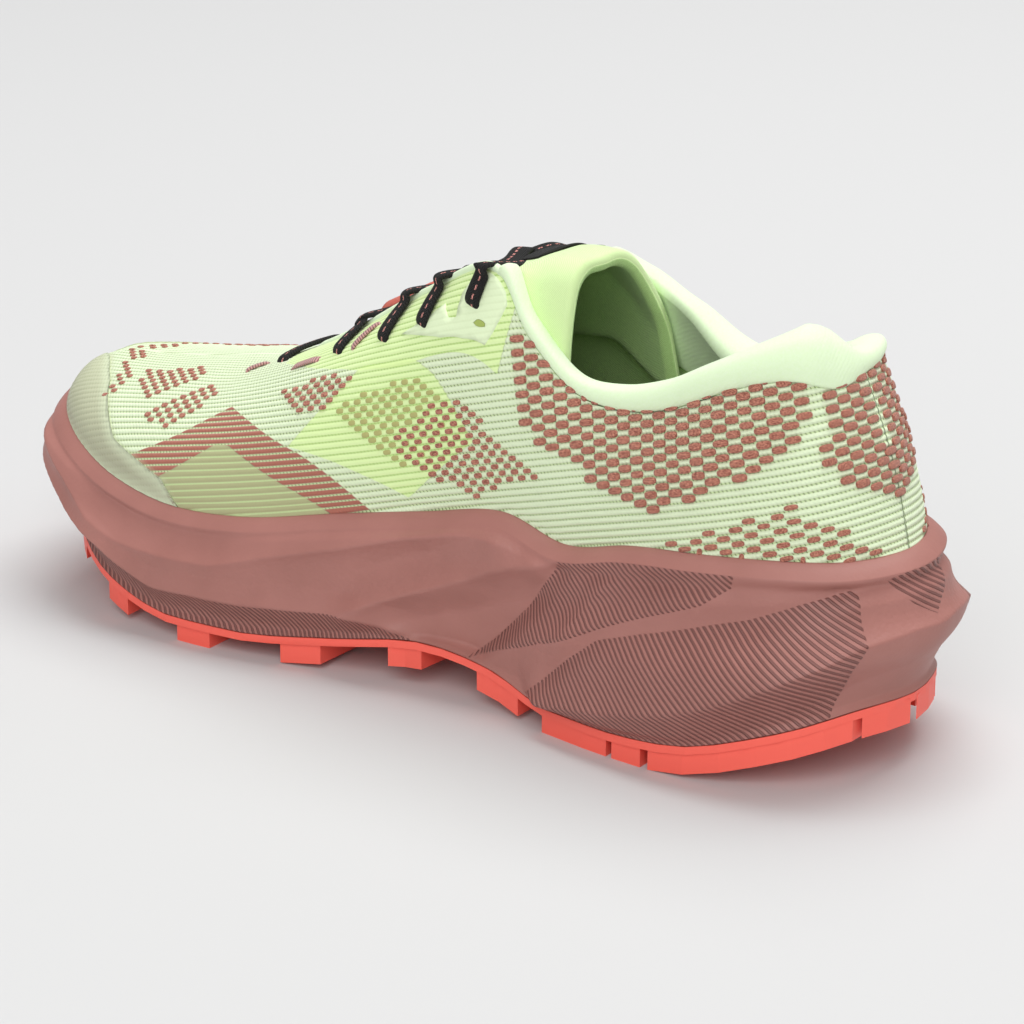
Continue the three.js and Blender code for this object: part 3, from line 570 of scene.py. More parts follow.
EDGE = shader_group("Soft edge", (("Distance", NUMBER, 0.0), ("Width", NUMBER, 0.15)),
                    (("Mask", NUMBER),), build_edge)
RIBS = shader_group("Knit ribs", (("Place", VECTOR, None), ("Pitch", NUMBER, RIB_PITCH),
                                  ("Stitch", NUMBER, 1.15)),
                    (("Groove", NUMBER), ("Hole", NUMBER), ("Height", NUMBER), ("Twist", NUMBER)),
                    build_ribs)
SIDE_RIBS = shader_group("Side ribs", (("Phase", NUMBER, 0.0), ("Mask", NUMBER, 1.0),
                                       ("Pitch", NUMBER, SOLE_RIB_PITCH)),
                         (("Cut", NUMBER), ("Height", NUMBER)), build_side_ribs)
GRAIN = shader_group("Moulded grain", (("Place", VECTOR, None), ("Scale", NUMBER, 900.0)),
                     (("Height", NUMBER),), build_grain)


def finish(name, build, **constants):
    """Material whose build returns the sockets or values of the principled shader's inputs."""
    made = bpy.data.materials.new(name)
    made.use_nodes = True
    made.node_tree.nodes.clear()
    graph = Graph(made.node_tree)
    place = graph.node("ShaderNodeTexCoord").outputs["Object"]
    shader = graph.node("ShaderNodeBsdfPrincipled", {**build(graph, place), **constants})
    graph.node("ShaderNodeOutputMaterial", {"Surface": shader.outputs[0]})
    return made


def bump(graph, height, distance, strength=1.0):
    """Bumped normal for a height, in millimetres."""
    return graph.node("ShaderNodeBump", {"Height": height, "Distance": distance * MM,
                                         "Strength": strength}).outputs[0]


# Half width of the seam at the back of the heel, in millimetres
SEAM_HALF = 0.35

# Colours, as they show on a display
MINT = srgb(230, 244, 208)
# Painted shade: the mint darkened where the knit's grooves are shaded
GROOVE_SHADE = srgb(206, 224, 172)
# Painted shade seen in the knit's holes, also used as the dark colour of the heel seam
HOLE_SHADE_AND_SEAM = srgb(104, 126, 76)
TERRACOTTA = srgb(176, 108, 92)
OLIVE = srgb(176, 176, 132)
OLIVE_RIB = srgb(196, 214, 156)
YELLOW_FILM = srgb(226, 250, 168)
TOE_FILM = srgb(206, 212, 178)
TOE_LOW = srgb(172, 172, 146)
PATCH = srgb(232, 248, 206)
PADDING = srgb(230, 247, 216)
LINING = srgb(206, 240, 162)
FOAM = srgb(178, 121, 112)
# Painted shade: the foam darkened in its moulded grooves
FOAM_CUT_SHADE = srgb(86, 46, 42)
CORAL = srgb(255, 104, 88)
BLACK = srgb(16, 15, 14)
SALMON = srgb(236, 158, 148)
# Painted shade: the yellow film darkened in the knit's grooves
FILM_GROOVE_SHADE = srgb(190, 224, 128)
YARN_DARK = srgb(134, 72, 58)
YARN_LIGHT = srgb(212, 144, 122)
YARN_UNDER_FILM = srgb(180, 176, 112)
PADDING_LOW = srgb(222, 244, 196)
LINING_LOW = srgb(140, 184, 96)
INSOLE = srgb(120, 128, 78)
INSOLE_LOW = srgb(92, 100, 56)
FOAM_LOW = srgb(158, 104, 95)
EYELET_HOLE = srgb(168, 186, 96)
# Painted shade seen in the knit's holes under the toe film
TOE_HOLE_SHADE = srgb(150, 152, 116)
SLOT_LOW = srgb(132, 86, 84)
SLOT_HIGH = srgb(206, 156, 150)
KEEPER = srgb(226, 120, 100)
KEEPER_LOW = srgb(190, 86, 74)
TONGUE_CLOTH = srgb(226, 248, 188)
TONGUE_LOW = srgb(210, 238, 166)
FLOOR_GREY = srgb(206, 206, 206)


def knit_ribs(graph):
    """Ribs, holes and rib height of the knit from its own map."""
    return graph.call(RIBS, Place=graph.node("ShaderNodeUVMap", uv_map="knit").outputs[0])


def build_knit(graph, place):
    ribs = knit_ribs(graph)
    # Painted shade: the grooves darker and the holes between stitches darker still
    colour = graph.blend(ribs["Groove"], MINT, GROOVE_SHADE)
    colour = graph.blend(ribs["Hole"], colour, HOLE_SHADE_AND_SEAM)
    masks = {name: graph.call(EDGE, Distance=graph.attribute(name))["Mask"] for name in PANELS}
    stripe = graph.math("MULTIPLY", masks["stripes"], graph.math("SUBTRACT", 1.0, ribs["Groove"]))
    colour = graph.blend(stripe, colour, TERRACOTTA)
    # Painted shade: the film darker in the grooves of the knit under it
    film = graph.blend(ribs["Groove"], YELLOW_FILM, FILM_GROOVE_SHADE)
    for name in ("diamond", "throat"):
        colour = graph.blend(graph.math("MULTIPLY", masks[name], 0.72), colour, film)
    olive = graph.blend(ribs["Groove"], OLIVE, OLIVE_RIB)
    colour = graph.blend(masks["olive"], colour, olive)
    toe = graph.call(EDGE, Distance=graph.attribute("toe"), Width=2.5)["Mask"]
    seam = graph.math("SUBTRACT", SEAM_HALF, graph.math("ABSOLUTE", graph.attribute("from_heel")))
    seam = graph.call(EDGE, Distance=seam, Width=0.2)["Mask"]
    colour = graph.blend(graph.math("MULTIPLY", toe, 0.8), colour, TOE_FILM)
    colour = graph.blend(graph.math("MULTIPLY", seam, 0.8), colour, HOLE_SHADE_AND_SEAM)
    filmed = graph.math("MAXIMUM", graph.math("MAXIMUM", masks["diamond"], masks["throat"]),
                        graph.math("MAXIMUM", masks["olive"], toe))
    wisps = graph.noise(place, 2500.0, 3.0)
    height = graph.math("MULTIPLY_ADD", wisps, 0.25, ribs["Height"])
    height = graph.math("SUBTRACT", height, seam)
    depth = graph.lerp(filmed, 1.0, 0.35)
    return {"Base Color": colour, "Roughness": graph.lerp(filmed, 0.85, 0.5),
            "Normal": bump(graph, graph.math("MULTIPLY", height, depth), 0.32)}


def build_float(graph, place):
    drawn = graph.node("ShaderNodeMapping", {"Vector": place, "Scale": (0.35, 1.0, 1.0)}).outputs[0]
    yarn = graph.noise(drawn, 4200.0, 3.0)
    strand = graph.ramp(yarn, 0.36, 0.64, "LINEAR")
    colour = graph.blend(strand, YARN_DARK, YARN_LIGHT)
    return {"Base Color": colour, "Roughness": 0.9, "Normal": bump(graph, yarn, 0.35)}


def build_padding(graph, place):
    weave = graph.node("ShaderNodeTexWave", {"Vector": place, "Scale": 330.0, "Distortion": 1.5,
                                             "Detail": 1.0}, bands_direction="DIAGONAL").outputs[1]
    soft = graph.noise(place, 1800.0, 2.0)
    colour = graph.blend(soft, PADDING, PADDING_LOW)
    return {"Base Color": colour, "Roughness": 0.9,
            "Normal": bump(graph, graph.math("ADD", weave, soft), 0.05, 0.6)}


def build_lining(graph, place):
    twill = graph.node("ShaderNodeTexWave", {"Vector": place, "Scale": 1000.0, "Distortion": 1.0},
                       bands_direction="DIAGONAL").outputs[1]
    soft = graph.noise(place, 1800.0, 3.0)
    colour = graph.blend(graph.math("MULTIPLY", twill, soft), LINING, LINING_LOW)
    return {"Base Color": colour, "Roughness": 0.95,
            "Normal": bump(graph, graph.math("ADD", twill, soft), 0.12)}


def build_insole(graph, place):
    soft = graph.noise(place, 1500.0, 3.0)
    colour = graph.blend(soft, INSOLE, INSOLE_LOW)
    return {"Base Color": colour, "Roughness": 0.95, "Normal": bump(graph, soft, 0.2)}


def build_foam(graph, place):
    ribbed = graph.call(EDGE, Distance=graph.attribute("ribbed"), Width=0.25)["Mask"]
    cut = graph.call(SIDE_RIBS, Phase=graph.attribute("phase"), Mask=ribbed)
    grain = graph.call(GRAIN, Place=place, Scale=900.0)["Height"]
    grainy = graph.call(EDGE, Distance=graph.attribute("grainy"), Width=1.5)["Mask"]
    tone = graph.blend(graph.noise(place, 60.0), FOAM, FOAM_LOW)
    # Painted shade: the foam darker in the moulded rib grooves
    colour = graph.blend(graph.math("MULTIPLY", cut["Cut"], 0.6), tone, FOAM_CUT_SHADE)
    fine = bump(graph, graph.math("MULTIPLY", grain, graph.lerp(grainy, 0.35, 1.0)), 0.16, 0.8)
    deep = graph.node("ShaderNodeBump", {"Height": cut["Height"], "Distance": 0.45 * MM, "Strength": 1.0,
                                         "Normal": fine}).outputs[0]
    return {"Base Color": colour, "Roughness": 0.52, "Normal": deep}


def build_rubber(graph, place):
    fine = graph.noise(place, 1400.0, 2.0)
    return {"Base Color": CORAL, "Roughness": 0.5, "Normal": bump(graph, fine, 0.05, 0.5)}


# The lace's weave, in millimetres
BRAID_PITCH = 0.9
BRAID_WIDTH = 1.1
FLECK_PITCH = 2.6
FLECK_LINE = 0.6
FLECK_HALF = 0.32
SLOT_WEAVE_PITCH = 0.8


def tape_parts(graph):
    """Millimetres along a tape and across it, from its own map."""
    run = graph.node("ShaderNodeUVMap", uv_map="run").outputs[0]
    return graph.node("ShaderNodeSeparateXYZ", {0: run}).outputs


def build_lace(graph, place):
    parts = tape_parts(graph)
    zig = graph.math("PINGPONG", parts[1], BRAID_WIDTH)
    braid = graph.wave(graph.math("DIVIDE", graph.math("ADD", parts[0], zig), BRAID_PITCH))
    turn = graph.math("FRACT", graph.math("DIVIDE", parts[0], FLECK_PITCH))
    away = graph.math("ABSOLUTE", graph.math("SUBTRACT", parts[1], FLECK_LINE))
    dash = graph.math("GREATER_THAN", turn, 0.45)
    centre = graph.math("LESS_THAN", away, FLECK_HALF)
    shown = graph.math("GREATER_THAN", braid, 0.35)
    fleck = graph.math("MULTIPLY", graph.math("MULTIPLY", dash, centre), shown)
    colour = graph.blend(fleck, BLACK, SALMON)
    return {"Base Color": colour, "Roughness": 0.85, "Normal": bump(graph, braid, 0.35)}


def build_patch(graph, place):
    ribs = knit_ribs(graph)
    hole = graph.call(EDGE, Distance=graph.attribute("eyelet"), Width=0.06)["Mask"]
    # Painted shade: the eyestay film slightly darker in the knit's grooves
    colour = graph.blend(graph.math("MULTIPLY", ribs["Groove"], 0.2), PATCH, GROOVE_SHADE)
    colour = graph.blend(hole, colour, EYELET_HOLE)
    sunk = graph.math("MULTIPLY", hole, 2.0)
    depth = graph.math("SUBTRACT", graph.math("MULTIPLY", ribs["Height"], 0.2), sunk)
    return {"Base Color": colour, "Roughness": 0.45, "Normal": bump(graph, depth, 0.3)}


def build_toe(graph, place):
    ribs = knit_ribs(graph)
    level = graph.math("MULTIPLY_ADD", graph.noise(place, 45.0), 0.25, graph.attribute("level"))
    colour = graph.blend(graph.ramp(level, 0.12, 0.72, "LINEAR"), TOE_LOW, TOE_FILM)
    # Painted shade: the knit's holes darker under the toe film
    colour = graph.blend(graph.math("MULTIPLY", ribs["Hole"], 0.55), colour, TOE_HOLE_SHADE)
    fade = graph.ramp(graph.attribute("margin"), 6.0, 0.0, "LINEAR")
    colour = graph.blend(graph.math("MULTIPLY", fade, 0.5), colour, MINT)
    return {"Base Color": colour, "Roughness": 0.42, "Normal": bump(graph, ribs["Height"], 0.2)}


def build_slot(graph, place):
    weave = graph.wave(graph.math("DIVIDE", tape_parts(graph)[0], SLOT_WEAVE_PITCH))
    colour = graph.blend(weave, SLOT_LOW, SLOT_HIGH)
    return {"Base Color": colour, "Roughness": 0.8, "Normal": bump(graph, weave, 0.3)}


def build_band(graph, place):
    fine = graph.node("ShaderNodeTexWave", {"Vector": place, "Scale": 600.0}).outputs[1]
    return {"Base Color": BLACK, "Roughness": 0.8, "Normal": bump(graph, fine, 0.15)}


def build_keeper(graph, place):
    fine = graph.node("ShaderNodeTexWave", {"Vector": place, "Scale": 500.0}).outputs[1]
    return {"Base Color": graph.blend(fine, KEEPER, KEEPER_LOW),
            "Roughness": 0.7, "Normal": bump(graph, fine, 0.2)}


FABRIC = {"Sheen Weight": 0.25, "Sheen Roughness": 0.5, "Specular IOR Level": 0.25}
KNIT_FINISH = finish("knit", build_knit, **FABRIC)
FLOAT_FINISH = finish("float_yarn", build_float, **FABRIC)
PADDING_FINISH = finish("padding_cloth", build_padding, **FABRIC)
LINING_FINISH = finish("lining_cloth", build_lining, **FABRIC)
INSOLE_FINISH = finish("insole_cloth", build_insole, **FABRIC)
FOAM_FINISH = finish("foam", build_foam)
RUBBER_FINISH = finish("tread_rubber", build_rubber)
LACE_FINISH = finish("lace_weave", build_lace)
PATCH_FINISH = finish("eyestay_film", build_patch)
TOE_FINISH = finish("toe_film", build_toe)
SLOT_FINISH = finish("slot_weave", build_slot, **FABRIC)
BAND_FINISH = finish("band_tape", build_band)
KEEPER_FINISH = finish("keeper_webbing", build_keeper)


# The knitted upper

UPPER_COLUMNS = 440
UPPER_ROWS = 150
INNER_ROWS = 26
HEM_SHARE = -0.03
RIB_HEIGHT = 0.22


def seat(place):
    return sides(HEIGHTS, "seat", place) * HEEL_RIM


def rib_relief(place, share):
    """Round cords of the knit, standing out from the face."""
    turn = knit_at(place, share)[..., 1] / RIB_PITCH
    return RIB_HEIGHT * (1 - np.abs(np.sin(math.pi * turn)) ** 3)


def upper_normals(place, share):
    """Outward directions, the same from both sides on the spine."""
    place, share = np.broadcast_arrays(place, share)
    normal = upper_normal(place, share)
    spine = (share >= 1) & is_closed(place)
    both_sides = unit(normal + upper_normal(-place, share))
    return np.where(spine[..., None], both_sides, normal)


def shell_rings(place):
    """Rings of the knit from its outer hem over the top to its inner hem, with their shares."""
    top = np.where(is_closed(place), 1, brim(place))
    rows = np.linspace(0, 1, UPPER_ROWS)[:, None] * top
    inner_rows = np.linspace(1, 0, INNER_ROWS)[:, None] * top
    outer = upper_point(place, rows) + upper_normals(place, rows) * rib_relief(place, rows)[..., None]
    inner = upper_point(place, inner_rows) - upper_normals(place, inner_rows) * UPPER_WALL
    hem_out, hem_in = outer[:1].copy(), inner[-1:].copy()
    for hem in (hem_out, hem_in):
        hem[..., 2] = seat(place) + GAP
    hem_share = np.full(place.shape, HEM_SHARE)
    shares = np.concatenate((hem_share, rows, inner_rows, hem_share))
    return np.concatenate((hem_out, outer, inner, hem_in)), shares


def shell_quads(place, rings):
    """Quads of the shell. In front of the throat both sides share the points of one spine."""
    count = len(place)
    quads = grid_quads(rings + 1, count, True)
    # The ring after the last is the first again
    quads = np.where(quads >= rings * count, quads - rings * count, quads)
    top_out, top_in = UPPER_ROWS, UPPER_ROWS + 1
    column = np.arange(count)
    keep = np.ones(len(quads), bool)
    keep[top_out * count:top_in * count] = ~(is_closed(place) & is_closed(place[(column + 1) % count]))
    weld = np.arange(rings * count)
    past = is_closed(place) & (place > LAST)
    for ring in (top_out, top_in):
        weld[ring * count + column[past]] = ring * count + (count - column[past])
    return weld[quads[keep]]


def build_upper():
    place = even_places(UPPER_COLUMNS)[None, :]
    rings, shares = shell_rings(place)
    used, quads = np.unique(shell_quads(place[0], len(rings)), return_inverse=True)
    quads = quads.reshape(-1, 4)
    points = rings.reshape(-1, 3)[used]
    grid_place, grid_share = (v.ravel()[used] for v in np.broadcast_arrays(place, shares))
    if enclosed(points, quads) < 0:
        quads = quads[:, ::-1]
    faces = [list(dict.fromkeys(q)) for q in quads.tolist()]
    faces = [f for f in faces if len(f) > 2]
    made = add_object("upper_knit", points, faces, KNIT_FINISH, "knit")
    made.data.materials.append(LINING_FINISH)
    inward = [all(used[k] // UPPER_COLUMNS > UPPER_ROWS for k in face) for face in faces]
    made.data.polygons.foreach_set("material_index", np.array(inward, np.int32))
    add_uv(made, "knit", knit_at(grid_place, grid_share))
    chart = chart_of(grid_place, grid_share)
    for name, corners in PANELS.items():
        add_value(made, name, signed_distance(chart, np.array(corners) * CHART))
    add_value(made, "from_heel", chart[:, 0])
    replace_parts(made, "upper")
    return made


# The sculpted foam sole

SOLE_COLUMNS = 640
SIDE_ROWS = 64
# Ridges of the sole side: height in ridge depths, reach below and above as shares, line of the crest
RIDGES = (
    (3.6, 0.42, 0.36, ((5.6, 1.0), (6.15, 1.0), (6.9, 0.95), (7.9, 0.84), (8.7, 0.78), (9.3, 0.67),
                       (10.1, 0.66), (10.6, 0.62), (11.2, 0.66), (11.9, 0.82), (13.0, 0.93), (15, 0.96))),
    (2.4, 0.22, 0.22, ((7.0, 0.02), (7.66, 0.21), (8.7, 0.31), (9.6, 0.33), (10.15, 0.30), (10.9, 0.48),
                       (11.7, 0.53), (12.2, 0.62), (13.5, 0.75), (15, 0.8))),
    (3.8, 0.26, 0.34, ((4.97, 1.0), (5.55, 0.83), (6.27, 0.61), (6.83, 0.49), (7.6, 0.32), (7.9, 0.25))),
    (1.3, 0.35, 0.22, ((3.6, 1.0), (3.84, 0.97), (4.25, 0.84), (4.64, 0.61), (4.89, 0.50))),
    (1.2, 0.30, 0.16, ((2.6, 0.95), (2.91, 0.84), (3.91, 0.68), (5.08, 0.47), (6.3, 0.02))),
    (-1.2, 0.14, 0.14, ((0.97, 0.92), (1.74, 0.83), (2.37, 0.73), (2.88, 0.69), (3.59, 0.61),
                        (4.23, 0.53), (4.63, 0.39), (4.94, 0.25), (5.28, 0.05))),
    (4.6, 0.34, 0.36, ((-0.6, 0.58), (0.34, 0.61), (0.67, 0.59), (1.03, 0.56), (1.48, 0.47), (1.98, 0.38),
                       (2.36, 0.31), (2.72, 0.26), (3.41, 0.19), (3.95, 0.14), (4.58, 0.10), (5.37, 0.0))),
    (-0.8, 0.30, 0.09, ((-0.6, 0.91), (1.0, 0.91), (3.5, 0.90), (4.6, 0.93))),
)
NOTCH = ((6.45, -0.02), (6.3, 0.01), (5.96, 0.21), (5.48, 0.55), (5.29, 0.73), (5.14, 0.85), (4.93, 1.0))
RIDGE_DEPTH = 1.25
DRAWN_IN = 1.1
NOTCH_DEPTH = 3.2
HEEL_TRIM = 3.2
TOE_TRIM = 5.0
SIDE_CHART = np.array((22.0, 45.0))
RIBBED = (
    ((4.93, 1.02), (5.14, 0.85), (5.29, 0.73), (5.48, 0.55), (5.96, 0.21), (6.35, -0.02), (5.08, 0.45),
     (3.91, 0.66), (2.91, 0.82), (2.6, 0.92), (2.55, 1.02)),
    ((5.32, 0.03), (4.94, 0.25), (4.63, 0.39), (4.23, 0.53), (3.59, 0.61), (2.88, 0.69), (2.37, 0.73),
     (1.74, 0.83), (0.97, 0.92), (0.98, 0.74), (0.96, 0.57), (1.11, 0.40), (1.15, 0.22), (1.35, -0.05),
     (5.3, -0.05)),
    ((13.4, 0.72), (12.2, 0.60), (11.7, 0.50), (10.9, 0.45), (10.15, 0.27), (9.6, 0.31), (8.7, 0.29),
     (7.9, 0.24), (7.66, 0.19), (6.9, -0.05), (15.5, -0.05), (15.5, 0.78)),
    ((0.58, 0.97), (0.30, 1.0), (-1, 1.0), (-1, 0.66), (0.0, 0.66), (0.3, 0.78)),
)
GRAINY = (
    ((12.0, 0.58), (11.2, 0.60), (10.6, 0.58), (10.1, 0.62), (9.3, 0.63), (8.7, 0.74), (7.9, 0.8),
     (6.9, 0.93), (6.1, 0.97), (5.1, 0.98), (5.6, 0.86), (6.27, 0.65), (6.83, 0.53), (7.6, 0.38),
     (8.7, 0.36), (9.6, 0.38), (10.15, 0.35), (10.9, 0.5)),
    ((5.9, 0.02), (5.08, 0.43), (3.91, 0.64), (2.0, 0.92), (0.5, 0.98), (0.9, 0.92), (2.88, 0.72),
     (4.23, 0.56), (5.3, 0.02)),
    ((0.9, 0.9), (-1, 0.66), (-1, 0.5), (0.5, 0.58), (0.9, 0.6)),
)


def line_reach(distance, below, above):
    return np.clip(np.where(distance > 0, 1 - distance / above, 1 + distance / below), 0, 1) ** 1.35


def side_relief(place, share):
    """Creases and ridges of the sole side, in millimetres outward."""
    place, share = np.broadcast_arrays(mirrored(place), share)
    total = np.full(place.shape, -DRAWN_IN)
    for push, below, above, corners in RIDGES:
        at, level = np.array(corners).T
        reach = line_reach(share - np.interp(place, at, level), below, above)
        ends = smooth((place - at[0]) / 0.5 + 0.3) * smooth((at[-1] - place) / 0.5 + 0.3)
        total += RIDGE_DEPTH * push * reach * ends
    at, level = np.array(NOTCH).T
    away = place - np.interp(share, level, at)
    total -= NOTCH_DEPTH * line_reach(away, 0.28, 1.1) * np.clip(1.1 - share * 0.4, 0, 1)
    total -= HEEL_TRIM * smooth(1.4 - place / 2.0) * smooth(share / 0.4) * smooth((0.86 - share) / 0.26)
    total -= TOE_TRIM * smooth((place - 12.6) / 1.6) * smooth(share / 0.3)
    calm = smooth(share / 0.06) * smooth((1 - share) / 0.08)
    return total * calm


# Lean of the moulded ribs from upright, in degrees, by millimetres round from the middle of the heel
RIB_LEAN = table(("run", "lean"), (
    (-30, 47), (0, 52), (60, 51), (105, 48), (125, 27), (160, 25), (200, 42), (400, 45),
))
REAR_RIBS_END = 0.62
RIB_HEART = 30


def rib_phase(place, height):
    """Millimetres across the moulded ribs of the sole side."""
    fine = np.linspace(0, LAST, 601)
    beyond = np.mod(place, LOOP) > LOOP - REAR_RIBS_END
    run = np.interp(mirrored(place), fine, distance_along(feather(fine)[0])) * np.where(beyond, -1, 1)
    steps = np.linspace(-40, 420, 1841)
    lean = np.radians(np.interp(steps, RIB_LEAN["run"], RIB_LEAN["lean"]))
    across = np.concatenate(([0], np.cumsum(np.cos(lean[1:]) * np.diff(steps))))
    return np.interp(run, steps, across) - (height - RIB_HEART) * np.interp(run, steps, np.sin(lean)) + 100


def raised_ladder(ring, steps, height_at):
    """Points of rungs from the inner to the outer half of a ring, without its two ends."""
    half = len(ring) // 2
    inner, outer = ring[1:half], ring[:half:-1]
    share = np.linspace(0, 1, steps + 1)[None, :, None]
    rungs = mix(inner[:, None], outer[:, None], share)
    rungs[..., 2] += height_at(share[..., 0])
    return rungs


def cap_faces(count, ring_first, steps, rung_first, flip):
    """Faces that close a ring with its rungs. The rungs' ends are the ring's own points."""
    half = count // 2

    def index(row, step):
        low = ring_first + row
        high = ring_first + (count - row) % count
        inner = rung_first + (row - 1) * (steps - 1) + step - 1
        return low if step == 0 else high if step == steps else inner
    faces = []
    for row in range(1, half - 1):
        for step in range(steps):
            faces.append([index(row, step), index(row, step + 1),
                          index(row + 1, step + 1), index(row + 1, step)])
    for step in range(steps):
        faces.append([ring_first, index(1, step + 1), index(1, step)])
        faces.append([ring_first + half, index(half - 1, step), index(half - 1, step + 1)])
    return [face[::-1] for face in faces] if flip else faces


def closed_rings(name, rings, steps, heights, finish_used, slot):
    """Body from closed rings stacked from its lower to its upper cap."""
    count = rings.shape[1]
    points = rings.reshape(-1, 3)
    faces = grid_quads(len(rings), count, True).tolist()
    caps = []
    first = len(points)
    for ring_index, height, flip in ((0, heights[0], True), (len(rings) - 1, heights[1], False)):
        rungs = raised_ladder(rings[ring_index], steps, height)[:, 1:-1].reshape(-1, 3)
        faces += cap_faces(count, ring_index * count, steps, first, flip)
        caps.append(rungs)
        first += len(rungs)
    points = np.concatenate([points, *caps])
    made = add_object(name, points, faces, finish_used, slot)
    return made, points


def level_cap(share):
    return np.zeros_like(share)


def build_midsole():
    place = even_places(SOLE_COLUMNS)[None, :]
    shares = np.concatenate(([0, 0.012], np.linspace(0.03, 0.985, SIDE_ROWS), [1.0]))[:, None]
    side = side_point(place, shares, side_relief(place, shares))
    point, out = feather(place[0])
    lip = side[-1]
    rim_edge = point + out * GAP
    rim_edge[:, 2] = rim(place[0])
    swell = np.array((0, 0, 0.5))
    soft = [mix(lip, rim_edge, t) + swell * math.sin(math.pi * t) for t in (0.05, 0.3, 0.6, 0.9)]
    inner_edge = point + out * (GAP - 0.25)
    inner_edge[:, 2] = rim(place[0]) - 0.35
    floor = inner_edge.copy()
    floor[:, 2] = seat(place[0])
    rings = np.concatenate((side, np.array([*soft, rim_edge, inner_edge, floor])))
    made, points = closed_rings("midsole_foam", rings, 24, (level_cap, level_cap), FOAM_FINISH, "foam")
    ring_share = np.concatenate((shares[:, 0], np.full(len(rings) - len(shares), 1.3)))
    extra = len(points) - rings.shape[0] * SOLE_COLUMNS
    grid_place, grid_share = (v.ravel() for v in np.broadcast_arrays(place, ring_share[:, None]))
    grid_place = np.concatenate((grid_place, np.zeros(extra)))
    grid_share = np.concatenate((grid_share, np.full(extra, 2.0)))
    chart = np.stack((mirrored(grid_place), grid_share), -1) * SIDE_CHART
    for label, zones in (("ribbed", RIBBED), ("grainy", GRAINY)):
        reach = [signed_distance(chart, np.array(zone) * SIDE_CHART) for zone in zones]
        add_value(made, label, np.max(reach, axis=0))
    add_value(made, "phase", rib_phase(grid_place, points[:, 2]))
    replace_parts(made, "midsole")
    return made


def build_outsole():
    """The tread with softened edges."""
    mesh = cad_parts["outsole"].data.copy()
    made = bpy.data.objects.new("outsole_tread", mesh)
    bpy.context.scene.collection.objects.link(made)
    mesh.materials.clear()
    mesh.materials.append(RUBBER_FINISH)
    weld = made.modifiers.new("weld", "WELD")
    weld.merge_threshold = 0.02 * MM
    flat = made.modifiers.new("flat", "DECIMATE")
    flat.decimate_type = "DISSOLVE"
    flat.angle_limit = math.radians(1.5)
    edge = made.modifiers.new("edge", "BEVEL")
    edge.width = 0.45 * MM
    edge.segments = 2
    edge.limit_method = "ANGLE"
    edge.angle_limit = math.radians(40)
    return settle(made, "rubber", "outsole")


def settle(made, slot, *replaced):
    """Turns an object's modifiers into its mesh and lets it ride on the shoe."""
    shape = bpy.data.meshes.new_from_object(made.evaluated_get(bpy.context.evaluated_depsgraph_get()))
    made.modifiers.clear()
    made.data = shape
    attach(made, "root")
    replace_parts(made, *replaced)
    return made


def build_insole():
    place = even_places(300)[None, :]
    point, out = feather(place[0])
    low = seat(place[0]) + GAP
    inset = UPPER_WALL + 2 * GAP

    def ring(extra, rise):
        made = point - out * (inset + extra)
        made[:, 2] = low + rise
        return made
    rings = np.array([ring(0.3, 0), ring(0, 0.6), ring(0, 2.6), ring(0.5, 3.6), ring(1.4, 4.0)])

    def dish(share):
        return -1.2 * np.sin(math.pi * share)
    made, _ = closed_rings("insole_cloth", rings, 16, (level_cap, dish), INSOLE_FINISH, "insole_cloth")
    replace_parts(made, "insole")
    return made


# The padded collar and the tongue

PAD_THICKNESS = 7
ROLL_HEIGHT = 11
PAD_AT_CORNER = 2.4
COLLAR_COLUMNS = 260
COLLAR_ROUND = 64
WALL_ROW = 1 / 7
# Roll's section: outward in pad thicknesses, up in roll heights
ROLL_OUTLINE = (
    (0.04, 0.00), (0.30, 0.14), (0.40, 0.40), (0.26, 0.72), (-0.16, 0.95), (-0.62, 1.00),
    (-1.08, 0.88), (-1.36, 0.56), (-1.32, 0.22),
)
HEEL_OVERLAP = 0.5
HEEL_SLIM = 0.35
# Rise of the roll round the heel, in millimetres; the inner side stands highest
HEEL_CREST = table(("place", "rise"), (
    (-9, 0), (-5, 0), (-2.8, -4.2), (-1.2, -6.2), (0, -5.4), (0.45, -2.2), (0.9, 1.2), (1.6, 2.2),
    (2.8, 1.2), (4.4, 0), (9, 0),
))


def pad_at(place):
    return mix(PAD_THICKNESS, PAD_AT_CORNER, smooth((mirrored(place) - 3.4) / 2.0))


def eased_table(rows, at, value, place):
    """A table's value, eased through its rows."""
    fine = np.linspace(rows[at][0], rows[at][-1], 181)
    drawn = np.interp(fine, rows[at], rows[value])
    soft = np.convolve(np.pad(drawn, 4, "edge"), np.ones(9) / 9, "valid")
    return np.interp(place, fine, soft)


def inset_point(place, share, inset):
    return upper_point(place, share) - upper_normals(place, share) * np.asarray(inset)[..., None]


def smooth_loop(points, count):
    """Closed smooth rows through closed rows of points, evenly spread."""
    size = points.shape[1]
    place = np.arange(count) / count * size
    start = np.floor(place).astype(int)
    near = [points[:, (start + k) % size] for k in (-1, 0, 1, 2)]
    return curve_between(*near, (place - start)[None, :, None])


